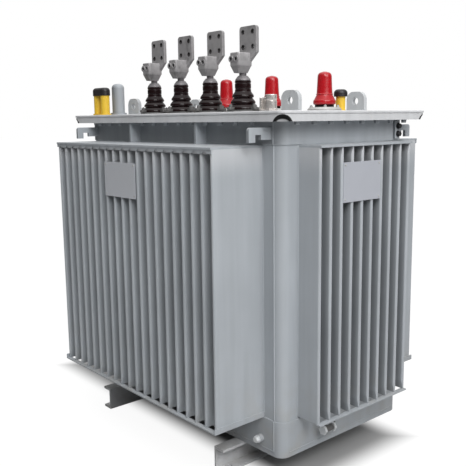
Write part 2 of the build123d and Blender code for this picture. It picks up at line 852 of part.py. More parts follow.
# Bare plates on the noses of the fins
with BuildPart() as data_plates:
    with BuildSketch(Plane.XZ.offset(long_fin_front + plate_clearance)):
        with Locations((-front_plate_shift, fin_top - front_plate_drop)):
            Rectangle(front_plate_width, front_plate_height, align=(Align.CENTER, Align.MAX))
    extrude(amount=plate_thickness)
    with BuildSketch(Plane.YZ.offset(end_fin_front + plate_clearance)):
        with Locations((-end_plate_shift, fin_top - end_plate_drop)):
            Rectangle(end_plate_width, end_plate_height, align=(Align.CENTER, Align.MAX))
    extrude(amount=plate_thickness)
save(data_plates, "data_plates")
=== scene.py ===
# %% [markdown]
# # A power transformer in a plain studio
#
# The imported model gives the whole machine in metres: X runs along the tank, the low-voltage side faces -Y
# and Z is up. This lesson lights it, gives every surface a finish, and adds the small things that a CAD
# model leaves out: fasteners, weld beads, smooth turned pieces and wear.

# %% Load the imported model
import json
import math

import bmesh
import bpy
import numpy as np
from mathutils import Matrix, Vector


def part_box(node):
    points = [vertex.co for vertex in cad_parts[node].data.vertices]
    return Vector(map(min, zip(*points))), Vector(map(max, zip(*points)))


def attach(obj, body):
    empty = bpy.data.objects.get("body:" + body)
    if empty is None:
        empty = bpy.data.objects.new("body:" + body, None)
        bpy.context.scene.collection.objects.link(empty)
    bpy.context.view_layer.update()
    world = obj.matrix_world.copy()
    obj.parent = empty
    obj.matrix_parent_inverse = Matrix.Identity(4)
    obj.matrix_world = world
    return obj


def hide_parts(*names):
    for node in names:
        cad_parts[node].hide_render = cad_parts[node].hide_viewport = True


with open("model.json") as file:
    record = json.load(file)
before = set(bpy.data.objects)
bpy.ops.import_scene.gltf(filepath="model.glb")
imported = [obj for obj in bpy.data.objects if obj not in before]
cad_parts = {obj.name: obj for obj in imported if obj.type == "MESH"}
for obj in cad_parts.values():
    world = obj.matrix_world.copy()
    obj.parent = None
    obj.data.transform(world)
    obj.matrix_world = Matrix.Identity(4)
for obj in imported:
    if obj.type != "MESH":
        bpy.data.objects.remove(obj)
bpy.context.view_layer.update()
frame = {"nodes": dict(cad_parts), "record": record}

nodes = frame["nodes"]
scene = bpy.context.scene
scene.view_settings.view_transform = "Standard"
MM = 0.001


def corners(box):
    """The low and the high corner of a box, as arrays."""
    return [np.array(corner) for corner in box]


# %% [markdown]
# ## Camera
#
# The picture of the real machine was taken from head height beside a corner of the tank. A camera can be
# placed by eye, but straight edges that run to their vanishing points fix it far better. The bearing, the
# downward pitch, the small roll and the focal length below were solved from such edges, so the model falls
# on the same pixels.

# %% Camera
IMAGE_WIDTH = 466
FOCAL_PIXELS = 692.43
CAMERA_PLACE = Vector((1.8961, -1.6445, 1.0866))
BEARING = math.radians(49.30)
PITCH = math.radians(9.30)
ROLL = math.radians(-0.71)


def camera_axes(bearing, pitch, roll):
    """Right, up and back of a camera.

    Back leans up by the pitch from the bearing, and the roll turns right and up about it.
    """
    level = Vector((math.cos(bearing), math.sin(bearing), 0.0))
    outward = Vector((math.sin(bearing), -math.cos(bearing), 0.0))
    back = math.cos(pitch) * outward + math.sin(pitch) * Vector((0.0, 0.0, 1.0))
    upward = back.cross(level)
    right = math.cos(roll) * level + math.sin(roll) * upward
    return right, back.cross(right), back


camera = bpy.data.objects.new("camera", bpy.data.cameras.new("camera"))
scene.collection.objects.link(camera)
camera.data.sensor_width = 36.0
camera.data.lens = FOCAL_PIXELS / IMAGE_WIDTH * camera.data.sensor_width
camera.data.clip_end = 200.0
camera_turn = Matrix(camera_axes(BEARING, PITCH, ROLL)).transposed().to_4x4()
camera.matrix_world = Matrix.Translation(CAMERA_PLACE) @ camera_turn
scene.camera = camera
print("camera lens:", round(camera.data.lens, 2), "mm")

# %% [markdown]
# ## Shader arithmetic
#
# A finish is a sum of small effects: a base colour, a little noise, dust on what faces up. Wiring that by
# hand takes pages. Here a wrapped socket understands + - * so a mask reads as the formula that it is, and
# one method adds any other node.

# %% Socket arithmetic


class Value:
    """An output socket of a finish. Arithmetic with numbers or other values adds Math nodes."""

    def __init__(self, finish, socket):
        self.finish = finish
        self.socket = socket

    def math(self, operation, first, second):
        """One Math node."""
        return self.finish.node("ShaderNodeMath", {"operation": operation}, {0: first, 1: second})

    def __add__(self, other):
        return self.math("ADD", self, other)

    def __radd__(self, other):
        return self.math("ADD", other, self)

    def __sub__(self, other):
        return self.math("SUBTRACT", self, other)

    def __rsub__(self, other):
        return self.math("SUBTRACT", other, self)

    def __mul__(self, other):
        return self.math("MULTIPLY", self, other)

    def __rmul__(self, other):
        return self.math("MULTIPLY", other, self)

    def between(self, low, high):
        """0 below low, 1 above high, and a smooth rise from one to the other."""
        inputs = {0: self, 1: low, 2: high, 3: 0.0, 4: 1.0}
        return self.finish.node("ShaderNodeMapRange", {"interpolation_type": "SMOOTHSTEP"}, inputs)


class Finish:
    """A procedural material: its node tree, its main shader, and a method that adds nodes."""

    def __init__(self, name, roughness=0.5, metallic=0.0, coat=0.0, specular=0.5):
        self.material = bpy.data.materials.new(name)
        self.material.use_nodes = True
        self.tree = self.material.node_tree
        self.shader = self.tree.nodes["Principled BSDF"]
        self.shader.inputs["Roughness"].default_value = roughness
        self.shader.inputs["Metallic"].default_value = metallic
        self.shader.inputs["Coat Weight"].default_value = coat
        self.shader.inputs["Specular IOR Level"].default_value = specular
        self.place = self.node("ShaderNodeTexCoord", {}, {}, "Object")

    def node(self, kind, settings, inputs, output=0):
        """Add a node of a kind: its settings first, then its sockets. A Value is linked, the rest is set."""
        made = self.tree.nodes.new(kind)
        for key, setting in settings.items():
            setattr(made, key, setting)
        for key, given in inputs.items():
            if isinstance(given, Value):
                self.tree.links.new(given.socket, made.inputs[key])
            else:
                made.inputs[key].default_value = given
        return Value(self, made.outputs[output])

    def noise(self, scale, detail=3.0, stretch=(1.0, 1.0, 1.0)):
        """Cloudy noise around 0.5, with `scale` lumps a metre, drawn out along each axis by its stretch."""
        squeezed = self.vector("MULTIPLY", self.place, [1.0 / side for side in stretch])
        return self.node("ShaderNodeTexNoise", {}, {"Vector": squeezed, "Scale": scale, "Detail": detail})

    def vector(self, operation, first, second=(0.0, 0.0, 0.0), output=0):
        """Arithmetic on whole vectors."""
        return self.node("ShaderNodeVectorMath", {"operation": operation}, {0: first, 1: second}, output)

    def split(self, vector, index):
        """One component of a vector."""
        return self.node("ShaderNodeSeparateXYZ", {}, {0: vector}, index)

    def axis(self, index):
        """One coordinate of the place on the object, in metres."""
        return self.split(self.place, index)

    def facing(self, index):
        """One component of the surface's own direction: index 2 is 1 on what faces up."""
        direction = self.node("ShaderNodeNewGeometry", {}, {}, "Normal")
        return self.split(direction, index)

    def mix(self, factor, first, second):
        """A colour that goes from the first to the second as the factor goes from 0 to 1."""
        return self.node("ShaderNodeMix", {"data_type": "RGBA"}, {0: factor, 6: first, 7: second}, 2)

    def set(self, socket, value):
        """Link a value to a socket of the main shader."""
        self.tree.links.new(value.socket, self.shader.inputs[socket])

    def bump(self, height, strength, depth):
        """Tilt the surface by a height map, `depth` metres from its low to its high."""
        lifted = self.node("ShaderNodeBump", {}, {"Strength": strength, "Distance": depth, "Height": height})
        self.set("Normal", lifted)


def srgb(red, green, blue):
    """A colour given as 0 to 255 screen values, as linear light: a power of 2.4 with a straight foot."""
    screen = np.array([red, green, blue]) / 255.0
    linear = np.where(screen <= 0.04045, screen / 12.92, ((screen + 0.055) / 1.055) ** 2.4)
    return (*linear.tolist(), 1.0)


def shaded(colour, factor):
    """A colour with its light scaled by a factor, kept below full white."""
    return [min(1.0, channel * factor) for channel in colour[:3]] + [1.0]


print("shader arithmetic ready")

# %% [markdown]
# ## Paint
#
# The tank is sprayed with a semi-gloss grey: not one flat grey but slightly clouded, with orange peel, thin
# runs down the walls and dust on what faces up. Splashed rain leaves a dirty band near the ground. The thin
# sheet of the fins is never quite flat, so their paint has slow waves too. A photograph of paint could be
# projected, but noise on the object's own coordinates has no seams and looks right from every side.

# %% Masks
# Painted shade: the masks below darken the paint in the flange's corner hollows and between the end banks'
# fins.
HOLLOW_MIDDLE = (0.573, 0.328, 1.066)
HOLLOW_REACH, HOLLOW_RISE = 0.041, 0.0335
LENS_HALF_WIDTH, LENS_FOOT, LENS_HEIGHT = 0.0165, 0.012, 0.0088
END_NOSE, END_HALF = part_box("right_fins")[1][:2]
GAP_LOW, GAP_HIGH = 0.024, 0.002
GAP_SIDE_LOW, GAP_SIDE_HIGH = 0.006, 0.003


def hollow_shade_mask(finish):
    """1 in the ball hollows under the flange's corners and just around them, but for a lens low in each one.

    Painted shade. All four corners fold onto one by their absolute coordinates. The shade is an ellipsoid,
    wider than it is high. The lens, left unshaded, is an ellipse as seen along the diagonal: across is the
    offset along the cut corner.
    """
    offset = finish.vector("SUBTRACT", finish.vector("ABSOLUTE", finish.place), HOLLOW_MIDDLE)
    shares = (1.0 / HOLLOW_REACH, 1.0 / HOLLOW_REACH, 1.0 / HOLLOW_RISE)
    reach = finish.vector("LENGTH", finish.vector("MULTIPLY", offset, shares), output=1)
    inside = 1.0 - reach.between(1.0, 1.03)
    sides = [finish.split(offset, index) for index in range(3)]
    across = (sides[0] - sides[1]) * (math.sqrt(0.5) / LENS_HALF_WIDTH)
    up = (sides[2] - LENS_FOOT) * (1.0 / LENS_HEIGHT)
    return inside * (across * across + up * up).between(0.6, 1.3)


def gap_shade_mask(finish):
    """Painted shade: 1 between the end banks' fins, fading to 0 at their noses, 0 on the banks' outer sides.
    """
    folded = finish.vector("ABSOLUTE", finish.place)
    out, aside = (finish.split(folded, index) for index in range(2))
    deep = 1.0 - out.between(END_NOSE - GAP_LOW, END_NOSE - GAP_HIGH)
    return deep * (1.0 - aside.between(END_HALF - GAP_SIDE_LOW, END_HALF - GAP_SIDE_HIGH))


print("masks ready: fin noses end at", round(END_NOSE, 4))

# %% Painted steel
SPLASH_LOW, SPLASH_HIGH = 0.10, 0.42
# The colour darkens towards the foot.
FOOT_LOW, FOOT_HIGH = 0.17, 0.24
# Painted shade on the long walls just under the flange.
FLANGE_SHADE_LOW, FLANGE_SHADE_HIGH = 1.013, 1.020
# Painted light on the top of the fins.
LIT_TOP_LOW, LIT_TOP_HIGH = 0.92, 1.00
# Darkening towards the foot, and painted shade under the flange and between the end banks' fins.
FOOT_DARKENING, FLANGE_SHADE, GAP_SHADE = 0.13, 0.38, 0.40
CLOUD_DARK, CLOUD_LIGHT = 0.86, 1.10
CLOUD_SHARE, RUN_SHARE = 0.55, 0.45
SPLASH_SHARE, DUST_SHARE = 0.30, 0.30
DARKEST_TONE = 0.01
GLOSS_SWING, DIRT_DULLS, HOLLOW_DULLS = 0.16, 0.2, 0.5
PEEL_HEIGHT, WAVE_HEIGHT = 0.0004, 0.012
PAINT_BUMP = 0.25


def painted(name, colour, roughness, wave=0.0, darkening_scale=1.0, hollows=False, lit_top=0.0, gaps=False):
    """Sprayed steel.

    Clouds and runs shift the colour a few percent, dust settles on faces that look up, splashed dirt marks
    the foot, the colour darkens towards the foot, and painted shade darkens the long wall just under the
    flange. A wave of so many metres bends the reflections of thin sheet. Painted shade also fills the
    hollows under the flange's corners, which are duller, and the narrow gaps of the end banks, and painted
    light lightens the fins' top.
    """
    finish = Finish(name, roughness=roughness, specular=0.4)
    clouds = finish.noise(scale=3.0, detail=4.0)
    runs = finish.noise(scale=26.0, detail=2.0, stretch=(1.0, 1.0, 14.0))
    shift = (CLOUD_SHARE * clouds + RUN_SHARE * runs).between(0.25, 0.75)
    base = finish.mix(shift, shaded(colour, CLOUD_DARK), shaded(colour, CLOUD_LIGHT))
    height = finish.axis(2)
    drops = finish.noise(scale=17.0, detail=5.0).between(0.40, 0.75)
    splash = (1.0 - height.between(SPLASH_LOW, SPLASH_HIGH)) * drops
    patches = finish.noise(scale=9.0, detail=6.0).between(0.30, 0.80)
    settled = finish.facing(2).between(0.75, 1.0) * patches
    dirt = SPLASH_SHARE * splash + DUST_SHARE * settled
    # The colour darkens towards the foot.
    foot = 1.0 - height.between(FOOT_LOW, FOOT_HIGH)
    sideways = finish.facing(1) * finish.facing(1)
    # Painted shade on the long walls just under the flange.
    flange_shade = sideways * height.between(FLANGE_SHADE_LOW, FLANGE_SHADE_HIGH)
    darkening = darkening_scale * (FOOT_DARKENING * foot + FLANGE_SHADE * flange_shade)
    # Painted light: the fins' top is lightened towards the cover's colour.
    if lit_top:
        base = finish.mix(lit_top * height.between(LIT_TOP_LOW, LIT_TOP_HIGH), base, COVER)
    gloss = roughness - 0.5 * GLOSS_SWING + GLOSS_SWING * clouds + DIRT_DULLS * dirt
    # Painted shade between the end banks' fins.
    if gaps:
        darkening = darkening + GAP_SHADE * gap_shade_mask(finish)
    # Painted shade in the flange's corner hollows, which are also duller.
    if hollows:
        hollow_shade = hollow_shade_mask(finish)
        darkening = darkening + hollow_shade
        gloss = gloss + HOLLOW_DULLS * hollow_shade
    darkened = finish.mix(darkening, base, shaded(colour, DARKEST_TONE))
    finish.set("Base Color", finish.mix(dirt, darkened, DUST))
    finish.set("Roughness", gloss)
    relief = PEEL_HEIGHT * finish.noise(scale=420.0, detail=2.0)
    if wave:
        relief = relief + wave * finish.noise(scale=5.0, detail=1.0, stretch=(1.0, 1.0, 4.0))
    finish.bump(relief, PAINT_BUMP, 1.0)
    return finish.material


PAINT = srgb(170, 175, 180)
COVER = srgb(206, 207, 209)
DUST = srgb(160, 154, 144)
tank_paint = painted("tank_paint", PAINT, 0.42)
# Painted light on the fins' top.
fin_paint = painted("fin_paint", PAINT, 0.40, wave=WAVE_HEIGHT, lit_top=0.5)
# The end banks' fins also take painted shade in their gaps.
end_fin_paint = painted("end_fin_paint", PAINT, 0.40, wave=WAVE_HEIGHT, lit_top=0.5, gaps=True)
# The cover's paint takes painted shade in the flange's corner hollows.
cover_paint = painted("cover_paint", COVER, 0.40, darkening_scale=0.0, hollows=True)
lug_paint = painted("lug_paint", srgb(188, 191, 193), 0.42, darkening_scale=0.0)
# Painted light: the skids take a lighter grey than the tank, which lifts them in the shade under the tank.
skid_paint_lightened = painted("skid_paint_lightened", srgb(200, 201, 203), 0.45, darkening_scale=0.0)
paints = (tank_paint, fin_paint, end_fin_paint, cover_paint, lug_paint, skid_paint_lightened)
print("paints:", [paint.name for paint in paints])

# %% [markdown]
# ## Metals, porcelain, rubber and plastic
#
# Each of these is one colour with a fine grain that also varies the gloss. Glazed porcelain gets a clear
# coat, zinc plate is a metal with cloudy spangle, and the cast terminals are dull and slightly rough from
# their mould.

# %% Plain, cast and plate finishes
PALM_HALF_WIDTH, PALM_HALF_HEIGHT = 38.5 * MM, 40.0 * MM
HOLE_HALF_SPACING = 22.5 * MM
# Painted shade in and around the palms' bolt holes and on faces that look down.
HOLE_SHADE_REACH = 7.2 * MM
HOLE_SHADE, UNDERSIDE_SHADE, STAIN_DARK = 0.8, 0.35, 0.30
GRAIN_BUMP, CAST_BUMP = 1.0 * MM, 0.3
GRAIN_GLOSS = 0.12
PLATE_CLOUD = 0.06
palm_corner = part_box("lv_terminal_1")[1]
palm_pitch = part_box("lv_terminal_2")[1][0] - palm_corner[0]


def grained_gloss(roughness, cloud):
    """A roughness that a cloud shifts up and down about its middle."""
    return roughness - 0.5 * GRAIN_GLOSS + GRAIN_GLOSS * cloud


def plain(name, colour, roughness, metallic=0.0, coat=0.0, grain=60.0, spread=0.10, bump=0.0, specular=0.5):
    """One colour with a fine cloud of lighter and darker grain, which also varies the gloss."""
    finish = Finish(name, roughness=roughness, metallic=metallic, coat=coat, specular=specular)
    cloud = finish.noise(scale=grain, detail=4.0)
    finish.set("Base Color", finish.mix(cloud, shaded(colour, 1.0 - spread), shaded(colour, 1.0 + spread)))
    finish.set("Roughness", grained_gloss(roughness, cloud))
    if bump:
        finish.bump(finish.noise(scale=grain * 8.0, detail=3.0), bump, GRAIN_BUMP)
    return finish.material


def cast_terminal(name, colour, darkening):
    """Tinned casting with stains, and painted shade in and around the palms' bolt holes and under the
    clamps.

    Wrapping x by the pitch folds all palms onto one, and the absolute offsets fold its four holes onto one.
    """
    roughness = 0.5
    finish = Finish(name, roughness=roughness, metallic=0.45)
    cloud = finish.noise(scale=60.0, detail=4.0)
    base = finish.mix(cloud, shaded(colour, 0.8), shaded(colour, 1.2))
    along = finish.axis(0) - (palm_corner[0] - PALM_HALF_WIDTH)
    half = 0.5 * palm_pitch
    folded = finish.node("ShaderNodeMath", {"operation": "WRAP"}, {0: along, 1: half, 2: -half})
    up = finish.axis(2) - (palm_corner[2] - PALM_HALF_HEIGHT)
    across, above = (
        finish.node("ShaderNodeMath", {"operation": "ABSOLUTE"}, {0: offset}) - HOLE_HALF_SPACING
        for offset in (folded, up)
    )
    # Painted shade in the holes and on faces that look down; the stains are the casting's own.
    reach = across * across + above * above
    holes = 1.0 - reach.between(HOLE_SHADE_REACH**2, (1.15 * HOLE_SHADE_REACH) ** 2)
    beneath = 1.0 - finish.facing(2).between(-0.45, -0.10)
    stains = finish.noise(scale=34.0, detail=3.0).between(0.50, 0.72)
    dark = HOLE_SHADE * holes + UNDERSIDE_SHADE * beneath + STAIN_DARK * stains
    finish.set("Base Color", finish.mix(dark, base, darkening))
    finish.set("Roughness", grained_gloss(roughness, cloud))
    finish.bump(finish.noise(scale=480.0, detail=3.0), CAST_BUMP, GRAIN_BUMP)
    return finish.material


def bare_plates(name, front, end):
    """Satin metal: one colour on the long side, and on the brightly lit end a darker one, painted shade."""
    roughness = 0.36
    finish = Finish(name, roughness=roughness, metallic=0.2)
    cloud = finish.noise(scale=20.0, detail=3.0)
    # Painted shade: the plate facing the end, which the lamps light more, takes the darker colour.
    sheet = finish.mix(finish.facing(0).between(0.4, 0.6), front, end)
    finish.set("Base Color", finish.mix(PLATE_CLOUD * cloud, sheet, (0.0, 0.0, 0.0, 1.0)))
    finish.set("Roughness", grained_gloss(roughness, cloud))
    return finish.material


print("palms stand", round(palm_pitch, 4), "m apart")

# %% Finishes for the slots
GLAZE = {"coat": 0.06, "grain": 25.0, "spread": 0.2, "specular": 0.3}
POLISH = {"metallic": 0.74, "grain": 20.0, "spread": 0.03}
finishes = {
    "tank_paint": tank_paint,
    "cover_paint": cover_paint,
    "gasket_rubber": plain("gasket_rubber", srgb(196, 197, 198), 0.6),
    "zinc_steel": plain("zinc_steel", srgb(184, 184, 182), 0.40, metallic=0.35, grain=45.0, spread=0.14),
    "dark_porcelain": plain("dark_porcelain", srgb(25, 10, 11), 0.24, **GLAZE),
    "terminal_metal": cast_terminal("terminal_metal", srgb(170, 168, 169), srgb(34, 32, 32)),
    "red_rubber": plain("red_rubber", srgb(174, 20, 29), 0.26, coat=0.2, grain=20.0, spread=0.04),
    "polished_metal": plain("polished_metal", srgb(240, 234, 229), 0.22, **POLISH),
    "yellow_plastic": plain("yellow_plastic", srgb(232, 193, 62), 0.38, spread=0.06),
    "black_plastic": plain("black_plastic", srgb(34, 30, 32), 0.42, spread=0.15),
    # The end plate's colour is darker, painted shade.
    "plate_metal": bare_plates("plate_metal", srgb(202, 205, 211), srgb(186, 189, 197)),
}
dull_cast = plain("dull_cast", srgb(134, 131, 133), 0.5, metallic=0.4, spread=0.2, bump=CAST_BUMP)
dark_bolt = plain("dark_bolt", srgb(46, 46, 48), 0.5, metallic=0.3)
# Painted light: a lighter zinc for the earth bolts and drain unions, low in the shade at the tank's foot.
zinc_lightened = plain("zinc_lightened", srgb(220, 222, 224), 0.36, metallic=0.2, grain=45.0, spread=0.08)
dark_zinc = plain("dark_zinc", srgb(104, 103, 102), 0.45, metallic=0.3, grain=45.0, spread=0.14)
print("finishes:", sorted(finishes))

# %% Give each CAD node the finish of its slot
own_finishes = {
    # The skids take the lightened paint, painted light.
    "skids": skid_paint_lightened,
    "lifting_lugs": lug_paint,
    "lv_clamp_rings": dark_zinc,
    "drain_valve": dark_zinc,
    "front_fins": fin_paint,
    "back_fins": fin_paint,
    "left_fins": end_fin_paint,
    "right_fins": end_fin_paint,
}
for subpart in frame["record"]["subparts"]:
    mesh = nodes[subpart["node"]].data
    mesh.materials.clear()
    mesh.materials.append(own_finishes.get(subpart["node"], finishes[subpart["material_slot"]]))

# %% [markdown]
# ## Light and floor
#
# The machine stands in soft daylight that comes mostly from its right end and from above, so the end wall
# is the brightest, the long wall is in soft shade and the wall under the flange is dark, darker still by
# shade painted into its colour. The sky is nearly black at the horizon and bright overhead: its light grows
# with the fourth power of the height. A wide glow behind keeps the far sides readable. Two broad lamps on
# the bright side give the direction. Their strengths were found by rendering the machine once in each light
# alone and solving for the sum that fits best. The floor is white to the camera, so that it melts into the
# backdrop, but under the machine it is left dark, as shaded ground is.

# %% Sky
HORIZON_LIGHT = 0.03
OVERHEAD_LIGHT = 1.9
OVERHEAD_POWER = 4.0
BEHIND_LIGHT = 0.75
BEHIND_POWER = 2.0
BEHIND = (-0.60, 0.70, 0.39)


class Sky(Finish):
    """The world's node tree, with the same node method as a finish."""

    def __init__(self, name):
        self.world = bpy.data.worlds.new(name)
        self.world.use_nodes = True
        self.tree = self.world.node_tree
        self.shader = self.tree.nodes["Background"]
        self.place = self.node("ShaderNodeTexCoord", {}, {}, "Generated")


sky = Sky("pale_sky")
scene.world = sky.world


def glow_around(direction, power):
    """1 in a direction, falling off as a power of the cosine of the angle from it, and 0 behind it."""
    along = sky.node("ShaderNodeVectorMath", {"operation": "DOT_PRODUCT"}, {0: sky.place, 1: direction}, 1)
    ahead = sky.node("ShaderNodeMath", {"operation": "MAXIMUM"}, {0: along, 1: 0.0})
    return sky.node("ShaderNodeMath", {"operation": "POWER"}, {0: ahead, 1: power})


overhead = OVERHEAD_LIGHT * glow_around((0.0, 0.0, 1.0), OVERHEAD_POWER)
daylight = HORIZON_LIGHT + overhead + BEHIND_LIGHT * glow_around(BEHIND, BEHIND_POWER)
camera_ray = sky.node("ShaderNodeLightPath", {}, {}, "Is Camera Ray")
through_ray = sky.node("ShaderNodeLightPath", {}, {}, "Is Transmission Ray")
seen = sky.node("ShaderNodeMath", {"operation": "MAXIMUM"}, {0: camera_ray, 1: through_ray})
sky.shader.inputs["Color"].default_value = (1.0, 1.0, 1.0, 1.0)
sky.set("Strength", seen + (1.0 - seen) * daylight)
print("sky:", HORIZON_LIGHT, "at the horizon,", HORIZON_LIGHT + OVERHEAD_LIGHT, "overhead")

# %% Lamps


def softbox(name, place, target, width, height, power):
    """A broad area lamp at a place, turned to face a target."""
    lamp = bpy.data.lights.new(name, "AREA")
    lamp.shape = "RECTANGLE"
    lamp.size, lamp.size_y = width, height
    lamp.energy = power
    holder = bpy.data.objects.new(name, lamp)
    turn = (Vector(target) - Vector(place)).to_track_quat("-Z", "Y")
    holder.matrix_world = Matrix.Translation(place) @ turn.to_matrix().to_4x4()
    scene.collection.objects.link(holder)
    return holder


TANK_MIDDLE = (0.0, 0.0, 0.6)
softbox("daylight_right", (4.6, -0.4, 3.4), TANK_MIDDLE, 3.6, 3.0, 110.0)
softbox("daylight_front", (3.9, -2.4, 4.4), TANK_MIDDLE, 3.0, 3.0, 168.0)

# %% Floor
FLOOR_REACH = 40.0
FLOOR_BOUNCE = 0.34
FLOOR_GLOW = 1.30
FLOOR_GLOW_SHARE = 0.72
SHADE_MIDDLE = (-0.15, 0.0)
SHADE_HALF = (0.66, 0.20)
SHADE_FADE = 0.12
floor_finish = Finish("floor_white", roughness=0.9, specular=0.1)
floor_finish.shader.inputs["Base Color"].default_value = (FLOOR_BOUNCE, FLOOR_BOUNCE, FLOOR_BOUNCE, 1.0)
glow = floor_finish.node("ShaderNodeEmission", {}, {"Color": (1.0, 1.0, 1.0, 1.0), "Strength": FLOOR_GLOW})
to_camera = floor_finish.node("ShaderNodeLightPath", {}, {}, "Is Camera Ray")
surface = Value(floor_finish, floor_finish.shader.outputs[0])


def outside(axis):
    """How far a floor point lies beyond the shaded ground along one axis, in metres."""
    offset = floor_finish.axis(axis) - SHADE_MIDDLE[axis]
    return floor_finish.node("ShaderNodeMath", {"operation": "ABSOLUTE"}, {0: offset}) - SHADE_HALF[axis]


beyond = floor_finish.node("ShaderNodeMath", {"operation": "MAXIMUM"}, {0: outside(0), 1: outside(1)})
lit = FLOOR_GLOW_SHARE * beyond.between(0.0, SHADE_FADE)
blended = floor_finish.node("ShaderNodeMixShader", {}, {0: lit * to_camera, 1: surface, 2: glow})
floor_finish.tree.links.new(blended.socket, floor_finish.tree.nodes["Material Output"].inputs["Surface"])
floor_mesh = bpy.data.meshes.new("floor")
floor_corners = [(x * FLOOR_REACH, y * FLOOR_REACH, 0.0) for x, y in ((-1, -1), (1, -1), (1, 1), (-1, 1))]
floor_mesh.from_pydata(floor_corners, [], [(0, 1, 2, 3)])
floor = bpy.data.objects.new("floor", floor_mesh)
floor.data.materials.append(floor_finish.material)
scene.collection.objects.link(floor)
print("floor", FLOOR_REACH, "m")

# %% [markdown]
# ## Mesh helpers
#
# Every added piece is a grid of points worked out by a formula: an outline turned about an axis, a ring
# carried along a line, or copies of one small shape. A shape here is a pair: its points, and its faces as
# rows of four point numbers. Such shapes join and repeat as arrays, and only the finished one becomes a
# Blender mesh.

# %% Shapes
TURN_STEPS = 48
MERGE_DISTANCE = 0.01 * MM
SMOOTH_ANGLE = math.radians(38.0)


def quads(rows, columns):
    """Faces of a grid whose points are numbered row by row, with the last column joined to the first."""
    row, column = np.meshgrid(np.arange(rows - 1), np.arange(columns), indexing="ij")
    across = (column + 1) % columns
    first, second = row * columns, (row + 1) * columns
    ring = [first + column, first + across, second + across, second + column]
    return np.stack(ring, axis=-1).reshape(-1, 4)


def turned(outline, steps=TURN_STEPS, ribs=0, rib_depth=0.0):
    """An outline of (radius, height) turned about Z.

    Each point goes round a circle of its radius. With ribs, the radius swells and shrinks by half the rib
    depth as a cosine, so many times a turn.
    """
    radius, height = np.asarray(outline, float).T
    turn = np.arange(steps) * (2.0 * np.pi / steps)
    swell = 0.5 * rib_depth * np.cos(ribs * turn) * (radius[:, None] > rib_depth)
    reach = radius[:, None] + swell
    level = np.repeat(height[:, None], steps, axis=1)
    points = np.stack([reach * np.cos(turn), reach * np.sin(turn), level], axis=-1)
    return points.reshape(-1, 3), quads(len(radius), steps)


def rounded(outline, points=6):
    """An outline through corners of (radius, height, rounding).

    Each inner corner becomes a curve that leaves the straight its rounding before the corner and joins the
    next straight as far after it: (1-t)^2 of the first point, 2t(1-t) of the corner and t^2 of the last.
    """
    place = np.array([corner[:2] for corner in outline], float)
    reach = np.array([corner[2] for corner in outline[1:-1]])[:, None]
    along = np.diff(place, axis=0)
    along /= np.linalg.norm(along, axis=1, keepdims=True)
    middle = place[1:-1, None]
    before = middle - (along[:-1] * reach)[:, None]
    after = middle + (along[1:] * reach)[:, None]
    share = np.linspace(0.0, 1.0, points)[None, :, None]
    curves = (1.0 - share) ** 2 * before + 2.0 * share * (1.0 - share) * middle + share**2 * after
    return np.vstack([place[:1], curves.reshape(-1, 2), place[-1:]])


def slab(width, depth, height):
    """A block that stands on the origin: four corners below, four above."""
    x, y = 0.5 * width, 0.5 * depth
    ring = np.array([(-x, -y), (x, -y), (x, y), (-x, y)])
    points = np.vstack([np.c_[ring, np.zeros(4)], np.c_[ring, np.full(4, height)]])
    faces = np.vstack([quads(2, 4), [(3, 2, 1, 0), (4, 5, 6, 7)]])
    return points, faces


def joined(*shapes):
    """Several shapes as one: all points in a row, and each shape's faces counted on from those before it."""
    starts = np.cumsum([0] + [len(points) for points, faces in shapes[:-1]])
    points = np.vstack([points for points, faces in shapes])
    return points, np.vstack([faces + start for (_, faces), start in zip(shapes, starts)])


def spread(shape, places, turns=None):
    """A copy of a shape at each place, each turned by its own three by three matrix."""
    points, faces = shape
    places = np.asarray(places, float).reshape(-1, 3)
    turns = np.eye(3)[None] if turns is None else np.asarray(turns, float).reshape(-1, 3, 3)
    turns = np.broadcast_to(turns, (len(places), 3, 3))
    moved = np.einsum("nij,pj->npi", turns, points) + places[:, None]
    counted = faces[None] + len(points) * np.arange(len(places))[:, None, None]
    return moved.reshape(-1, 3), counted.reshape(-1, 4)


print("shape helpers ready, with", TURN_STEPS, "steps to a turn")

# %% Placing and finishing


def towards(direction):
    """The matrix that turns a shape's own Z to a direction."""
    return np.array(Vector(direction).to_track_quat("Z", "Y").to_matrix())


def about_z(angle):
    """The matrix that turns a shape about Z."""
    return np.array(Matrix.Rotation(angle, 3, "Z"))


def piece(name, shape, finish, replaced=None):
    """A finished mesh in place: doubles merged, faces outward, smooth but for its sharp edges."""
    points, faces = shape
    mesh = bpy.data.meshes.new(name)
    mesh.from_pydata(points.tolist(), [], faces.tolist())
    tidy = bmesh.new()
    tidy.from_mesh(mesh)
    bmesh.ops.remove_doubles(tidy, verts=tidy.verts, dist=MERGE_DISTANCE)
    bmesh.ops.recalc_face_normals(tidy, faces=tidy.faces)
    tidy.to_mesh(mesh)
    tidy.free()
    mesh.polygons.foreach_set("use_smooth", np.ones(len(mesh.polygons), bool))
    mesh.set_sharp_from_angle(angle=SMOOTH_ANGLE)
    mesh.materials.append(finish)
    made = bpy.data.objects.new(name, mesh)
    scene.collection.objects.link(made)
    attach(made, "root")
    if replaced:
        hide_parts(replaced)
    print(name, len(mesh.polygons), "faces")
    return made


def softened(made, width):
    """Round the sharp edges of a finished piece by a width."""
    bevel = made.modifiers.new("edges", "BEVEL")
    bevel.width = width
    bevel.segments = 2
    bevel.limit_method = "ANGLE"
    bevel.angle_limit = SMOOTH_ANGLE
    return made


def foot_of(node):
    """The middle of the foot of a node's box, its half width and its height."""
    low, high = corners(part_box(node))
    middle = 0.5 * (low + high)
    middle[2] = low[2]
    return middle, 0.5 * (high[0] - low[0]), high[2] - low[2]


print("placing helpers ready")

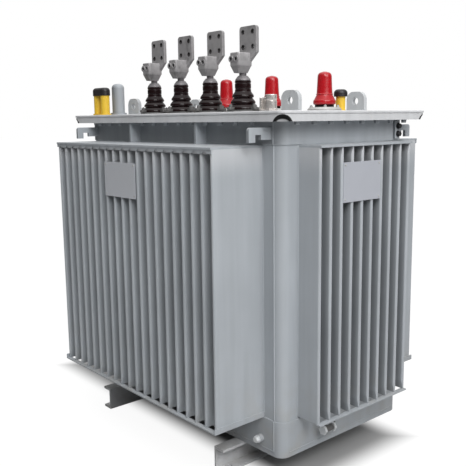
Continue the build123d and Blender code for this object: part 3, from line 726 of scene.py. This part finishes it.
# %% [markdown]
# ## Low-voltage bushings
#
# A bushing carries a conductor through the cover. Its glazed porcelain is turned on a wheel, so its sheds
# have soft lips and no edge is sharp. The CAD solid has the straight outline; here the same outline is
# turned again with rounded corners and two grooves in the neck. A subdivided copy would be round too, but
# it would lose the crisp undercuts.

# %% Low-voltage porcelain
# Lathe outlines are drawn in millimetres and scaled when they are turned.
LV_COUNT = 4
LV_SHEDS = ((44.0, 0.0), (39.0, 19.0), (34.0, 38.0))
LV_SHED_RIM = 7.0
LV_SHED_RISE = 19.0
LV_UNDERCUT = 5.0
LV_CORE = 25.5
LV_HEIGHT = 90.0
LV_LIP = 3.0
LV_GROOVES = (63.0, 80.0)
LV_GROOVE_WIDTH = 4.0
LV_GROOVE_DEPTH = 1.6


def porcelain_outline():
    """Sheds from the foot up, each a rim and a slope to the next, then a neck with shallow grooves."""
    necks = [radius - LV_UNDERCUT for radius, level in LV_SHEDS[1:]] + [LV_CORE]
    outline = [(0.0, 0.0, 0.0)]
    for (radius, level), neck in zip(LV_SHEDS, necks):
        outline.append((radius, level, LV_LIP))
        outline.append((radius, level + LV_SHED_RIM, LV_LIP))
        outline.append((neck, level + LV_SHED_RISE, LV_LIP * 0.5))
    for groove in LV_GROOVES:
        floor_radius = LV_CORE - LV_GROOVE_DEPTH
        outline.append((LV_CORE, groove, 0.6))
        outline.append((floor_radius, groove + LV_GROOVE_DEPTH, 0.5))
        outline.append((floor_radius, groove + LV_GROOVE_WIDTH - LV_GROOVE_DEPTH, 0.5))
        outline.append((LV_CORE, groove + LV_GROOVE_WIDTH, 0.6))
    outline.append((LV_CORE, LV_HEIGHT, 1.0))
    outline.append((0.0, LV_HEIGHT, 0.0))
    return rounded(outline) * MM


lv_feet = []
for number in range(1, LV_COUNT + 1):
    node = f"lv_insulator_{number}"
    place = foot_of(node)[0]
    lv_feet.append(place)
    glazed = spread(turned(porcelain_outline()), place)
    piece(f"{node}_glazed", glazed, finishes["dark_porcelain"], node)
lv_feet = np.array(lv_feet)

# %% Caps and studs
CAP_RADIUS = 24.0
CAP_RIM = 4.0
CAP_HEIGHT = 15.0
STUD_RADIUS = 12.0
STUD_HEIGHT = 8.0
THREAD_PITCH = 2.0
THREAD_DEPTH = 1.2
cap_outline = rounded(
    [
        (0.0, 0.0, 0.0),
        (CAP_RADIUS, 0.0, 0.8),
        (CAP_RADIUS, CAP_RIM, 3.0),
        (STUD_RADIUS + 3.0, CAP_HEIGHT, 2.0),
        (STUD_RADIUS, CAP_HEIGHT, 0.5),
    ]
)
thread_levels = CAP_HEIGHT + np.arange(0.0, STUD_HEIGHT + 0.5 * THREAD_PITCH, 0.5 * THREAD_PITCH)
thread_radii = STUD_RADIUS - THREAD_DEPTH * (np.arange(len(thread_levels)) % 2)
stud_outline = np.vstack([np.c_[thread_radii, thread_levels], [(0.0, CAP_HEIGHT + STUD_HEIGHT)]])
lv_cap = turned(np.vstack([cap_outline, stud_outline]) * MM)
cap_places = lv_feet + (0.0, 0.0, LV_HEIGHT * MM)
piece("lv_caps_domed", spread(lv_cap, cap_places), dull_cast, "lv_caps")

# %% [markdown]
# ## Fasteners
#
# Bolts and nuts are small, but an eye that knows machines looks for them. One hexagon nut is a six-sided
# turning with a bevelled top, on a round washer, with the end of its stud showing. It has a few dozen
# faces, so hundreds of copies stay light. Sizes follow the metric tables: a nut is about 1.5 stud diameters
# across its flats and 0.8 high.

# %% Hexagon nut
FLATS_SHARE = 1.5
NUT_SHARE = 0.8
WASHER_SHARE = 2.0
WASHER_THICKNESS_SHARE = 0.2
STUD_END_SHARE = 0.35
BEVEL_SHARE = 0.12


def bevelled(radius, foot, top, bevel, steps):
    """A prism or drum from foot to top, with its upper edge cut by a bevel."""
    outline = [(0.0, foot), (radius, foot), (radius, top - bevel), (radius - bevel, top), (0.0, top)]
    return turned(outline, steps)


def hex_nut(thread, stud_end=True):
    """A washer, a nut and the stud's end for a thread diameter, standing on the origin along Z."""
    corner = thread * FLATS_SHARE / math.sqrt(3.0)
    washer = thread * WASHER_THICKNESS_SHARE
    top = washer + thread * NUT_SHARE
    bevel = BEVEL_SHARE * thread
    ring = 0.5 * thread * WASHER_SHARE
    shapes = [
        turned([(0.0, 0.0), (ring, 0.0), (ring, washer), (0.0, washer)], steps=16),
        bevelled(corner, washer, top, bevel, steps=6),
    ]
    if stud_end:
        shapes.append(bevelled(0.5 * thread, top, top + thread * STUD_END_SHARE, bevel, steps=10))
    return joined(*shapes)


DOWN = towards((0.0, 0.0, -1.0))
flange_low, flange_high = corners(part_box("flange_long_bars"))
cover_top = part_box("cover")[1][2]
print("cover top at", round(float(cover_top), 4))

# %% [markdown]
# ## Flange bolts
#
# The cover is clamped to the tank flange all round. Seen from beside the machine nothing stands above the
# cover: the studs end flush with it, and the nuts sit under the flange. They are spaced evenly, but skip
# the gussets, the lashing hooks and the notched corners, as a fitter's spanner would need.

# %% Flange bolts
FLANGE_THREAD = 10.0 * MM
FLANGE_EDGE = 26.0 * MM
FLANGE_PITCH = 72.0 * MM
FLANGE_CORNER = 82.0 * MM
KEEP_CLEAR = 22.0 * MM
FLUSH_PROUD = 0.5 * MM


def evenly(half, pitch):
    """Places from -half to half, about a pitch apart."""
    return np.linspace(-half, half, int(round(2.0 * half / pitch)) + 1)


GUSSET_X, HOOK_X = 185.0 * MM, 479.0 * MM
blocked_x = np.array([-HOOK_X, -GUSSET_X, GUSSET_X, HOOK_X])
long_x = evenly(flange_high[0] - FLANGE_CORNER, FLANGE_PITCH)
long_x = long_x[np.abs(long_x[:, None] - blocked_x).min(axis=1) > KEEP_CLEAR]
end_y = evenly(flange_high[1] - FLANGE_CORNER, FLANGE_PITCH)
bolt_y = flange_high[1] - FLANGE_EDGE
bolt_x = flange_high[0] - FLANGE_EDGE
bolt_places = np.vstack(
    [np.c_[long_x, np.full(len(long_x), side * bolt_y)] for side in (-1, 1)]
    + [np.c_[np.full(len(end_y), side * bolt_x), end_y] for side in (-1, 1)]
)
under = np.c_[bolt_places, np.full(len(bolt_places), flange_low[2])]
piece("flange_nuts", spread(hex_nut(FLANGE_THREAD, False), under, DOWN), tank_paint)
stud_radius, end_radius = 0.5 * FLANGE_THREAD, 0.42 * FLANGE_THREAD
flush = turned([(0.0, 0.0), (stud_radius, 0.0), (end_radius, FLUSH_PROUD), (0.0, FLUSH_PROUD)], 12)
over = np.c_[bolt_places, np.full(len(bolt_places), cover_top)]
piece("cover_stud_ends", spread(flush, over), finishes["cover_paint"])

# %% [markdown]
# ## Bushing clamps
#
# Each low-voltage bushing is held down by four small steel dogs that bear on the foot of the porcelain,
# each with a stud and a nut. The high-voltage flanges have four nuts of their own. A dog is a block with
# softened edges, and all sixteen are one mesh made from one block by turning and moving it.

# %% Clamp dogs and their nuts
DOG_LENGTH, DOG_WIDTH, DOG_HEIGHT = 22.0 * MM, 15.0 * MM, 9.0 * MM
DOG_RADIUS = 51.0 * MM
DOG_THREAD, DOG_EDGE = 7.0 * MM, 2.0 * MM
dog_angles = np.arange(4) * 0.5 * np.pi
dog_ring = np.c_[np.cos(dog_angles), np.sin(dog_angles), np.zeros(4)] * DOG_RADIUS
dog_places = (lv_feet[:, None] + dog_ring[None]).reshape(-1, 3)
dog_turns = np.tile([about_z(angle) for angle in dog_angles], (LV_COUNT, 1, 1))
dogs = spread(slab(DOG_LENGTH, DOG_WIDTH, DOG_HEIGHT), dog_places, dog_turns)
softened(piece("lv_clamp_dogs", dogs, dark_zinc), DOG_EDGE)
dog_tops = dog_places + (0.0, 0.0, DOG_HEIGHT)
piece("lv_clamp_nuts", spread(hex_nut(DOG_THREAD), dog_tops), dark_zinc)

HV_COUNT = 3
HV_NUT_RADIUS = 45.5 * MM
HV_THREAD = 6.0 * MM
hv_feet = np.array([foot_of(f"hv_boot_{number}")[0] for number in range(1, HV_COUNT + 1)])
hv_flange_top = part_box("hv_flanges")[1][2]
hv_angles = np.arange(4) * 0.5 * np.pi + 0.25 * np.pi
hv_ring = np.c_[np.cos(hv_angles), np.sin(hv_angles)] * HV_NUT_RADIUS
hv_xy = (hv_feet[:, None, :2] + hv_ring[None]).reshape(-1, 2)
hv_nut_places = np.c_[hv_xy, np.full(len(hv_xy), hv_flange_top)]
piece("hv_flange_nuts", spread(hex_nut(HV_THREAD), hv_nut_places), finishes["zinc_steel"])

# %% [markdown]
# ## High-voltage boots
#
# A soft red boot is pulled over each high-voltage bushing. It is moulded silicone: a rolled rim, a flare, a
# thin ring where the mould parts, a long barrel and a domed tip with a small nipple left by the sprue. A
# lathe outline with rounded corners gives all of it in one turn.

# %% Boots
# Radius, height and rounding of each corner in millimetres, from the rim up.
BOOT_CORNERS = (
    (0.0, 0.0, 0.0),
    (37.0, 0.0, 2.0),
    (39.0, 4.0, 3.0),
    (39.0, 13.0, 3.0),
    (36.0, 17.0, 3.0),
    (28.5, 31.0, 5.0),
    (27.8, 33.0, 0.5),
    (29.2, 34.0, 0.8),
    (29.2, 36.0, 0.8),
    (27.3, 37.5, 0.5),
    (26.4, 50.0, 6.0),
    (24.6, 88.0, 6.0),
    (24.0, 108.0, 14.0),
    (7.0, 110.2, 1.0),
    (6.4, 111.0, 0.4),
    (0.0, 111.0, 0.0),
)
boot = turned(rounded(BOOT_CORNERS) * MM)
for number, place in enumerate(hv_feet, start=1):
    moulded = spread(boot, place)
    piece(f"hv_boot_{number}_moulded", moulded, finishes["red_rubber"], f"hv_boot_{number}")

# %% [markdown]
# ## Fittings on the cover
#
# The oil gauge is a polished tube on a hexagon base. The thermometer pocket beside it is a knurled plug:
# its radius follows a cosine round the turn, which makes the ribs without any cutting. The tap changer's
# handle and the relief valve keep their CAD bodies.

# %% Gauge and pocket
gauge_place, gauge_radius, gauge_height = foot_of("oil_gauge")
HEXAGON_TOP, HEXAGON_BEVEL = 9.0 * MM, 1.5 * MM
GAUGE_TUBE_SHARE = 0.86
GAUGE_GROOVE_SHARES = (0.62, 0.64, 0.68, 0.70)
GAUGE_GROOVE_DEPTH, GAUGE_GROOVE_EDGE = 1.2 * MM, 0.4 * MM
GAUGE_LIP, GAUGE_DISH_DEPTH, GAUGE_DISH_EDGE = 4.0 * MM, 2.0 * MM, 0.5 * MM
tube = GAUGE_TUBE_SHARE * gauge_radius
groove = tube - GAUGE_GROOVE_DEPTH
dish = gauge_height - GAUGE_DISH_DEPTH
gauge_corners = [(0.0, HEXAGON_TOP, 0.0), (tube, HEXAGON_TOP, 0.0)]
for share, radius in zip(GAUGE_GROOVE_SHARES, (tube, groove, groove, tube)):
    gauge_corners.append((radius, gauge_height * share, GAUGE_GROOVE_EDGE))
gauge_corners.append((tube, gauge_height, 2.0 * MM))
gauge_corners.append((tube - GAUGE_LIP, gauge_height, GAUGE_DISH_EDGE))
gauge_corners.append((tube - GAUGE_LIP - GAUGE_DISH_EDGE, dish, GAUGE_DISH_EDGE))
gauge_corners.append((0.0, dish, 0.0))
gauge_hexagon = bevelled(gauge_radius, 0.0, HEXAGON_TOP, HEXAGON_BEVEL, steps=6)
gauge_body = turned(rounded(gauge_corners))
gauge = spread(joined(gauge_hexagon, gauge_body), gauge_place)
piece("oil_gauge_polished", gauge, finishes["polished_metal"], "oil_gauge")

pocket_place, pocket_flange, pocket_height = foot_of("thermometer_pocket")
POCKET_RIBS, POCKET_RIB_DEPTH = 10, 3.2 * MM
POCKET_PLUG_SHARE, POCKET_BASE = 0.66, 8.0 * MM


def drum(radius, foot, top, foot_round, top_round):
    """The outline of a drum from foot to top with rounded edges."""
    return rounded([(0.0, foot, 0.0), (radius, foot, foot_round), (radius, top, top_round), (0.0, top, 0.0)])


plug_outline = drum(POCKET_PLUG_SHARE * pocket_flange, POCKET_BASE, pocket_height, 0.0, 1.5 * MM)
pocket_shape = joined(
    turned(drum(pocket_flange, 0.0, POCKET_BASE, 0.5 * MM, 1.0 * MM)),
    turned(plug_outline, steps=8 * POCKET_RIBS, ribs=POCKET_RIBS, rib_depth=POCKET_RIB_DEPTH),
)
pocket = spread(pocket_shape, pocket_place)
piece("thermometer_pocket_ribbed", pocket, finishes["polished_metal"], "thermometer_pocket")

# %% [markdown]
# ## Terminals
#
# The clamps and palms are aluminium castings, tinned, with soft edges. A bevel on a merged copy of the CAD
# solid gives those edges without drawing the casting again. Two bolts close each clamp on its stud: their
# heads sit in recesses, each with a hexagon socket.

# %% Cast terminals
CAST_EDGE = 3.2 * MM
for number in range(1, LV_COUNT + 1):
    node = f"lv_terminal_{number}"
    mesh = nodes[node].data.copy()
    merged = bmesh.new()
    merged.from_mesh(mesh)
    bmesh.ops.remove_doubles(merged, verts=merged.verts, dist=MERGE_DISTANCE)
    bmesh.ops.recalc_face_normals(merged, faces=merged.faces)
    merged.to_mesh(mesh)
    merged.free()
    mesh.polygons.foreach_set("use_smooth", np.ones(len(mesh.polygons), bool))
    mesh.set_sharp_from_angle(angle=SMOOTH_ANGLE)
    cast = bpy.data.objects.new(f"{node}_cast", mesh)
    scene.collection.objects.link(cast)
    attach(cast, "root")
    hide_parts(node)
    softened(cast, CAST_EDGE)
print("cast terminals:", LV_COUNT)

# %% Clamp bolts
BOLT_SPACING = 23.0 * MM
BOLT_LEVEL = 155.0 * MM
RECESS_RADIUS, RECESS_DEPTH = 5.8 * MM, 6.0 * MM
SOCKET_RADIUS, HEAD_HEIGHT = 3.2 * MM, 3.6 * MM
terminal_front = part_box("lv_terminal_1")[0][1]
head = turned(
    [
        (0.0, 0.0),
        (RECESS_RADIUS, 0.0),
        (RECESS_RADIUS, HEAD_HEIGHT),
        (SOCKET_RADIUS, HEAD_HEIGHT),
        (SOCKET_RADIUS, 0.4 * HEAD_HEIGHT),
        (0.0, 0.4 * HEAD_HEIGHT),
    ],
    steps=12,
)
bolt_xs = (lv_feet[:, 0, None] + np.array([-0.5, 0.5]) * BOLT_SPACING).ravel()
clamp_bolts = np.empty((len(bolt_xs), 3))
clamp_bolts[:, 0] = bolt_xs
clamp_bolts[:, 1] = terminal_front + RECESS_DEPTH
clamp_bolts[:, 2] = lv_feet[0, 2] + BOLT_LEVEL
OUT_FRONT = towards((0.0, -1.0, 0.0))
piece("lv_terminal_bolts", spread(head, clamp_bolts, OUT_FRONT), dark_bolt)

# %% [markdown]
# ## Sealed joint and fin ends
#
# The joint between cover and flange is painted shut, so no dark line shows round the cover: a narrow band
# fills it, made as a rounded rectangle of points carried up from the flange to the cover. At the top of the
# long banks the sheet between two fins is pressed flat and closed. A small block with soft edges stands for
# each closure, one in every gap.

# %% Joint filler
FILLER_SETBACK, FILLER_WIDTH, FILLER_CORNER = 0.6 * MM, 4.0 * MM, 22.0 * MM
gasket_low, gasket_high = corners(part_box("cover_gasket"))


def rounded_ring(half, corner, points=8):
    """Points round a rectangle with rounded corners: each corner's quarter turn sits on its own middle."""
    turn = np.linspace(0.0, 0.5 * np.pi, points)
    quarter = np.arange(4)[:, None] * 0.5 * np.pi
    signs = np.array([(1, 1), (-1, 1), (-1, -1), (1, -1)])
    middles = signs * (np.asarray(half) - corner)
    x = middles[:, :1] + corner * np.cos(turn + quarter)
    y = middles[:, 1:] + corner * np.sin(turn + quarter)
    return np.stack([x.ravel(), y.ravel()], axis=-1)


outer = rounded_ring(flange_high[:2] - FILLER_SETBACK, FILLER_CORNER)
inner = rounded_ring(flange_high[:2] - FILLER_SETBACK - FILLER_WIDTH, FILLER_CORNER - FILLER_WIDTH)
low, high = gasket_low[2], gasket_high[2]
loops = [(outer, low), (outer, high), (inner, high), (inner, low), (outer, low)]
filler = np.vstack([np.c_[ring, np.full(len(ring), level)] for ring, level in loops])
piece("joint_filler", (filler, quads(len(loops), len(outer))), cover_paint)

# %% Closed fin ends
LONG_FINS, FIN_WIDTH = 20, 12.0 * MM
CLOSURE_EDGE = 5.0 * MM
CLOSURE_DEPTH, CLOSURE_HEIGHT, CLOSURE_SETBACK = 26.0 * MM, 13.0 * MM, 1.0 * MM
bank_low, bank_high = corners(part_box("front_fins"))
fin_middles = np.linspace(bank_low[0] + 0.5 * FIN_WIDTH, bank_high[0] - 0.5 * FIN_WIDTH, LONG_FINS)
gap_middles = 0.5 * (fin_middles[:-1] + fin_middles[1:])
gap_width = fin_middles[1] - fin_middles[0] - FIN_WIDTH
closure_y = -bank_low[1] - CLOSURE_SETBACK - 0.5 * CLOSURE_DEPTH
closure_z = bank_high[2] - CLOSURE_HEIGHT
closure_places = [(x, side * closure_y, closure_z) for side in (-1, 1) for x in gap_middles]
closures = spread(slab(gap_width, CLOSURE_DEPTH, CLOSURE_HEIGHT), closure_places)
softened(piece("fin_end_closures", closures, fin_paint), CLOSURE_EDGE)

# %% [markdown]
# ## Weld beads
#
# The tank is welded from sheet. A bead is a rounded rope of metal along a joint, with a ripple for each
# pulse of the arc. Here a ring of six points is carried along each joint and its radius follows the ripple.
# It is half sunk in the plates that it joins, as a real one is, and the paint covers it.

# %% Beads
RIPPLE = 7.0 * MM
RIPPLE_SAMPLES = 3
RIPPLE_DEPTH_SHARE = 0.22
BEAD_SIDES = 6


def bead(start, end, radius):
    """A closed rope from start to end: rings of points whose radius is less at each ripple."""
    start, end = np.array(start, float), np.array(end, float)
    length = np.linalg.norm(end - start)
    rows = max(4, int(round(length / RIPPLE)) * RIPPLE_SAMPLES)
    share = np.linspace(0.0, 1.0, rows)
    reach = radius * (1.0 - RIPPLE_DEPTH_SHARE * np.abs(np.cos(np.pi * share * length / RIPPLE)))
    reach[0] = reach[-1] = 0.0
    axes = towards(end - start)
    turn = np.arange(BEAD_SIDES) * (2.0 * np.pi / BEAD_SIDES)
    ring = np.cos(turn)[:, None] * axes[:, 0] + np.sin(turn)[:, None] * axes[:, 1]
    spine = start + share[:, None] * (end - start)
    points = spine[:, None] + reach[:, None, None] * ring[None]
    return points.reshape(-1, 3), quads(rows, BEAD_SIDES)


def along_x(x_from, x_to, y, z, radius):
    """A bead along X."""
    return bead((x_from, y, z), (x_to, y, z), radius)


def along_y(x, y_from, y_to, z, radius):
    """A bead along Y."""
    return bead((x, y_from, z), (x, y_to, z), radius)


def upright(x, y, z_from, z_to, radius):
    """A bead that stands on end."""
    return bead((x, y, z_from), (x, y, z_to), radius)


SHEET = 3.0 * MM
CORNER_FLAT = 33.0 * MM
BAND_SETBACK = 2.0 * MM
SEAM_BEAD, BAND_BEAD, EDGE_BEAD = 3.2 * MM, 2.6 * MM, 2.4 * MM
BANK_BEAD, FLANGE_BEAD, FLOOR_BEAD = 3.0 * MM, 3.5 * MM, 2.2 * MM
wall_low, wall_high = corners(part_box("front_wall"))
seam_x = wall_high[0]
band_y = -wall_low[1]
band_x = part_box("right_wall")[1][0]
sheet_y = band_y - SHEET
sheet_x = band_x - SHEET
flat_y = band_y - CORNER_FLAT
end_bank_low, end_bank_high = corners(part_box("right_fins"))
floor_low, floor_high = corners(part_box("tank_floor"))
cap_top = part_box("fin_bank_caps")[1][2]
flange_foot, floor_top = flange_low[2], floor_high[2]
upper_band_foot = cap_top + BAND_SETBACK
lower_band_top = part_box("fin_bank_rails")[0][2] - BAND_SETBACK
print("bands end at", round(lower_band_top, 4), "and start at", round(upper_band_foot, 4))

# %% Beads on the tank
seams = []
for x in (-seam_x, seam_x):
    inner = bank_high[0] * np.sign(x)
    for side in (-1, 1):
        sheet, band = side * sheet_y, side * band_y
        seams.append(upright(x, sheet, lower_band_top, upper_band_foot, SEAM_BEAD))
        seams.append(upright(x, band, floor_top, lower_band_top, BAND_BEAD))
        seams.append(upright(x, band, upper_band_foot, flange_foot, BAND_BEAD))
        for level in (lower_band_top, upper_band_foot):
            seams.append(along_x(inner, x, sheet, level, EDGE_BEAD))
piece("wall_seam_welds", joined(*seams), finishes["tank_paint"])

bank_welds = []
for x in (bank_low[0], bank_high[0]):
    for side in (-1, 1):
        bank_welds.append(upright(x, side * sheet_y, bank_low[2], cap_top, BANK_BEAD))
for y in (end_bank_low[1], end_bank_high[1]):
    for side in (-1, 1):
        bank_welds.append(upright(side * sheet_x, y, end_bank_low[2], cap_top, BANK_BEAD))
for side in (-1, 1):
    bank_welds.append(along_x(bank_low[0], bank_high[0], side * sheet_y, cap_top, BANK_BEAD))
    bank_welds.append(along_x(-seam_x, seam_x, side * band_y, flange_foot, FLANGE_BEAD))
    bank_welds.append(along_x(-seam_x, seam_x, side * band_y, floor_top, FLOOR_BEAD))
for side in (-1, 1):
    bank_welds.append(along_y(side * sheet_x, end_bank_low[1], end_bank_high[1], cap_top, BANK_BEAD))
    bank_welds.append(along_y(side * band_x, -flat_y, flat_y, flange_foot, FLANGE_BEAD))
    bank_welds.append(along_y(side * band_x, -flat_y, flat_y, floor_top, FLOOR_BEAD))
piece("bank_and_band_welds", joined(*bank_welds), finishes["tank_paint"])

# %% Beads on lugs, hooks, gussets and skids
LUG_HALF_LENGTH, LUG_HALF_THICKNESS = 36.0 * MM, 7.0 * MM
LUG_X = 424.84 * MM
LUG_YS = (-144.0 * MM, 158.0 * MM)
LUG_BEAD = 5.5 * MM
lug_welds = []
for x in (-LUG_X, LUG_X):
    left, right = x - LUG_HALF_LENGTH, x + LUG_HALF_LENGTH
    for y in LUG_YS:
        front, back = y - LUG_HALF_THICKNESS, y + LUG_HALF_THICKNESS
        lug_welds.append(along_x(left, right, front, cover_top, LUG_BEAD))
        lug_welds.append(along_y(right, front, back, cover_top, LUG_BEAD))
        lug_welds.append(along_x(right, left, back, cover_top, LUG_BEAD))
        lug_welds.append(along_y(left, back, front, cover_top, LUG_BEAD))
piece("lug_welds", joined(*lug_welds), lug_paint)

GUSSET_HALF, GUSSET_REACH, GUSSET_BEAD = 4.0 * MM, 40.0 * MM, 2.6 * MM
HOOK_HALF, HOOK_ROOT, HOOK_BEAD = 5.0 * MM, 34.0 * MM, 3.0 * MM
SKID_X, SKID_HALF, SKID_BEAD = 335.0 * MM, 21.5 * MM, 3.5 * MM
hook_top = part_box("lashing_hooks")[1][2]
bracket_welds = []
for x in (-1, 1):
    for side in (-1, 1):
        wall, tip = side * band_y, side * (band_y + GUSSET_REACH)
        for edge in (-1, 1):
            gusset = x * GUSSET_X + edge * GUSSET_HALF
            hook = x * HOOK_X + edge * HOOK_HALF
            bracket_welds.append(upright(gusset, wall, cap_top, flange_foot, GUSSET_BEAD))
            bracket_welds.append(along_y(gusset, wall, tip, flange_foot, GUSSET_BEAD))
            bracket_welds.append(upright(hook, wall, hook_top - HOOK_ROOT, hook_top, HOOK_BEAD))
for x in (-1, 1):
    for edge in (-1, 1):
        skid = x * SKID_X + edge * SKID_HALF
        bracket_welds.append(along_y(skid, floor_low[1], floor_high[1], floor_low[2], SKID_BEAD))
piece("bracket_welds", joined(*bracket_welds), finishes["tank_paint"])

# %% [markdown]
# ## Plates, earth bolts and drain
#
# The plates are riveted to the noses of the fins: each rivet is a low dome. The earthing bosses carry a
# bolt for the earth conductor, and the pad on the upper band has two dark ones. The drain valve gets a
# union nut at each end and a spindle that a key turns.

# %% Rivets
RIVET_RADIUS = 3.2 * MM
RIVET_HEIGHT = 1.6 * MM
RIVET_INSET = 8.0 * MM
dome = np.linspace(0.0, 0.5 * np.pi, 5)
rivet = turned(np.c_[RIVET_RADIUS * np.cos(dome), RIVET_HEIGHT * np.sin(dome)], steps=12)
plate_low, plate_high = corners(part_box("data_plates"))
# Middle along the side, width, height, and drop below the fins' top.
FRONT_PLATE = (-26.0 * MM, 182.0 * MM, 112.0 * MM, 51.0 * MM)
END_PLATE = (-28.0 * MM, 170.0 * MM, 116.0 * MM, 45.0 * MM)
fin_top = bank_high[2]


def rivet_places(middle, width, height, drop):
    """Four places (along, up) inside the corners of a plate hung below the fins' top."""
    across = middle + np.array([-0.5, 0.5, 0.5, -0.5]) * (width - 2.0 * RIVET_INSET)
    up = fin_top - drop - np.array([RIVET_INSET, RIVET_INSET, height - RIVET_INSET, height - RIVET_INSET])
    return across, up


across, up = rivet_places(*FRONT_PLATE)
front_rivets = spread(rivet, np.c_[across, np.full(4, plate_low[1]), up], OUT_FRONT)
across, up = rivet_places(*END_PLATE)
OUT_RIGHT = towards((1.0, 0.0, 0.0))
end_rivets = spread(rivet, np.c_[np.full(4, plate_high[0]), across, up], OUT_RIGHT)
piece("plate_rivets", joined(front_rivets, end_rivets), finishes["zinc_steel"])

# %% Earth bolts
EARTH_THREAD = 12.0 * MM
PAD_THREAD = 10.0 * MM
earth_low, earth_high = corners(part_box("earth_terminals"))
EARTH_X, EARTH_RISE = 434.0 * MM, 13.0 * MM
earth_z = earth_low[2] + EARTH_RISE
boss_places = [(EARTH_X, earth_low[1], earth_z), (-EARTH_X, earth_high[1], earth_z)]
boss_turns = [OUT_FRONT, towards((0.0, 1.0, 0.0))]
# The earth bolts take the lightened zinc, painted light.
piece("earth_bolts", spread(hex_nut(EARTH_THREAD, False), boss_places, boss_turns), zinc_lightened)
PAD_Y, PAD_Z, PAD_SPACING = 240.0 * MM, 1047.5 * MM, 25.0 * MM
pad_places = [(earth_high[0], PAD_Y, PAD_Z + side * 0.5 * PAD_SPACING) for side in (-1, 1)]
piece("earth_pad_bolts", spread(hex_nut(PAD_THREAD, False), pad_places, OUT_RIGHT), dark_bolt)

# %% Drain valve nuts
drain_low, drain_high = corners(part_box("drain_valve"))
drain_z = 0.5 * (drain_low[2] + drain_high[2])
DRAIN_REACH = 30.0 * MM
drain_x = drain_low[0] + DRAIN_REACH
UNION_RADIUS, UNION_LENGTH, UNION_PROUD = 15.0 * MM, 8.5 * MM, 1.5 * MM
SPINDLE_RADIUS, SPINDLE_HALF = 3.6 * MM, 14.0 * MM
union = turned([(0.0, 0.0), (UNION_RADIUS, 0.0), (UNION_RADIUS, UNION_LENGTH), (0.0, UNION_LENGTH)], steps=6)
left_union = drain_low[1] - UNION_PROUD
right_union = drain_high[1] + UNION_PROUD - UNION_LENGTH
union_places = [(drain_x, y, drain_z) for y in (left_union, right_union)]
# The drain unions take the lightened zinc, painted light.
piece("drain_unions", spread(union, union_places, towards((0.0, 1.0, 0.0))), zinc_lightened)
low, high = -SPINDLE_HALF, SPINDLE_HALF
spindle = turned([(0.0, low), (SPINDLE_RADIUS, low), (SPINDLE_RADIUS, high), (0.0, high)], 16)
spindle_place = (drain_x, drain_high[1] + UNION_PROUD + SPINDLE_RADIUS, drain_z)
piece("drain_spindle", spread(spindle, spindle_place), dark_zinc)
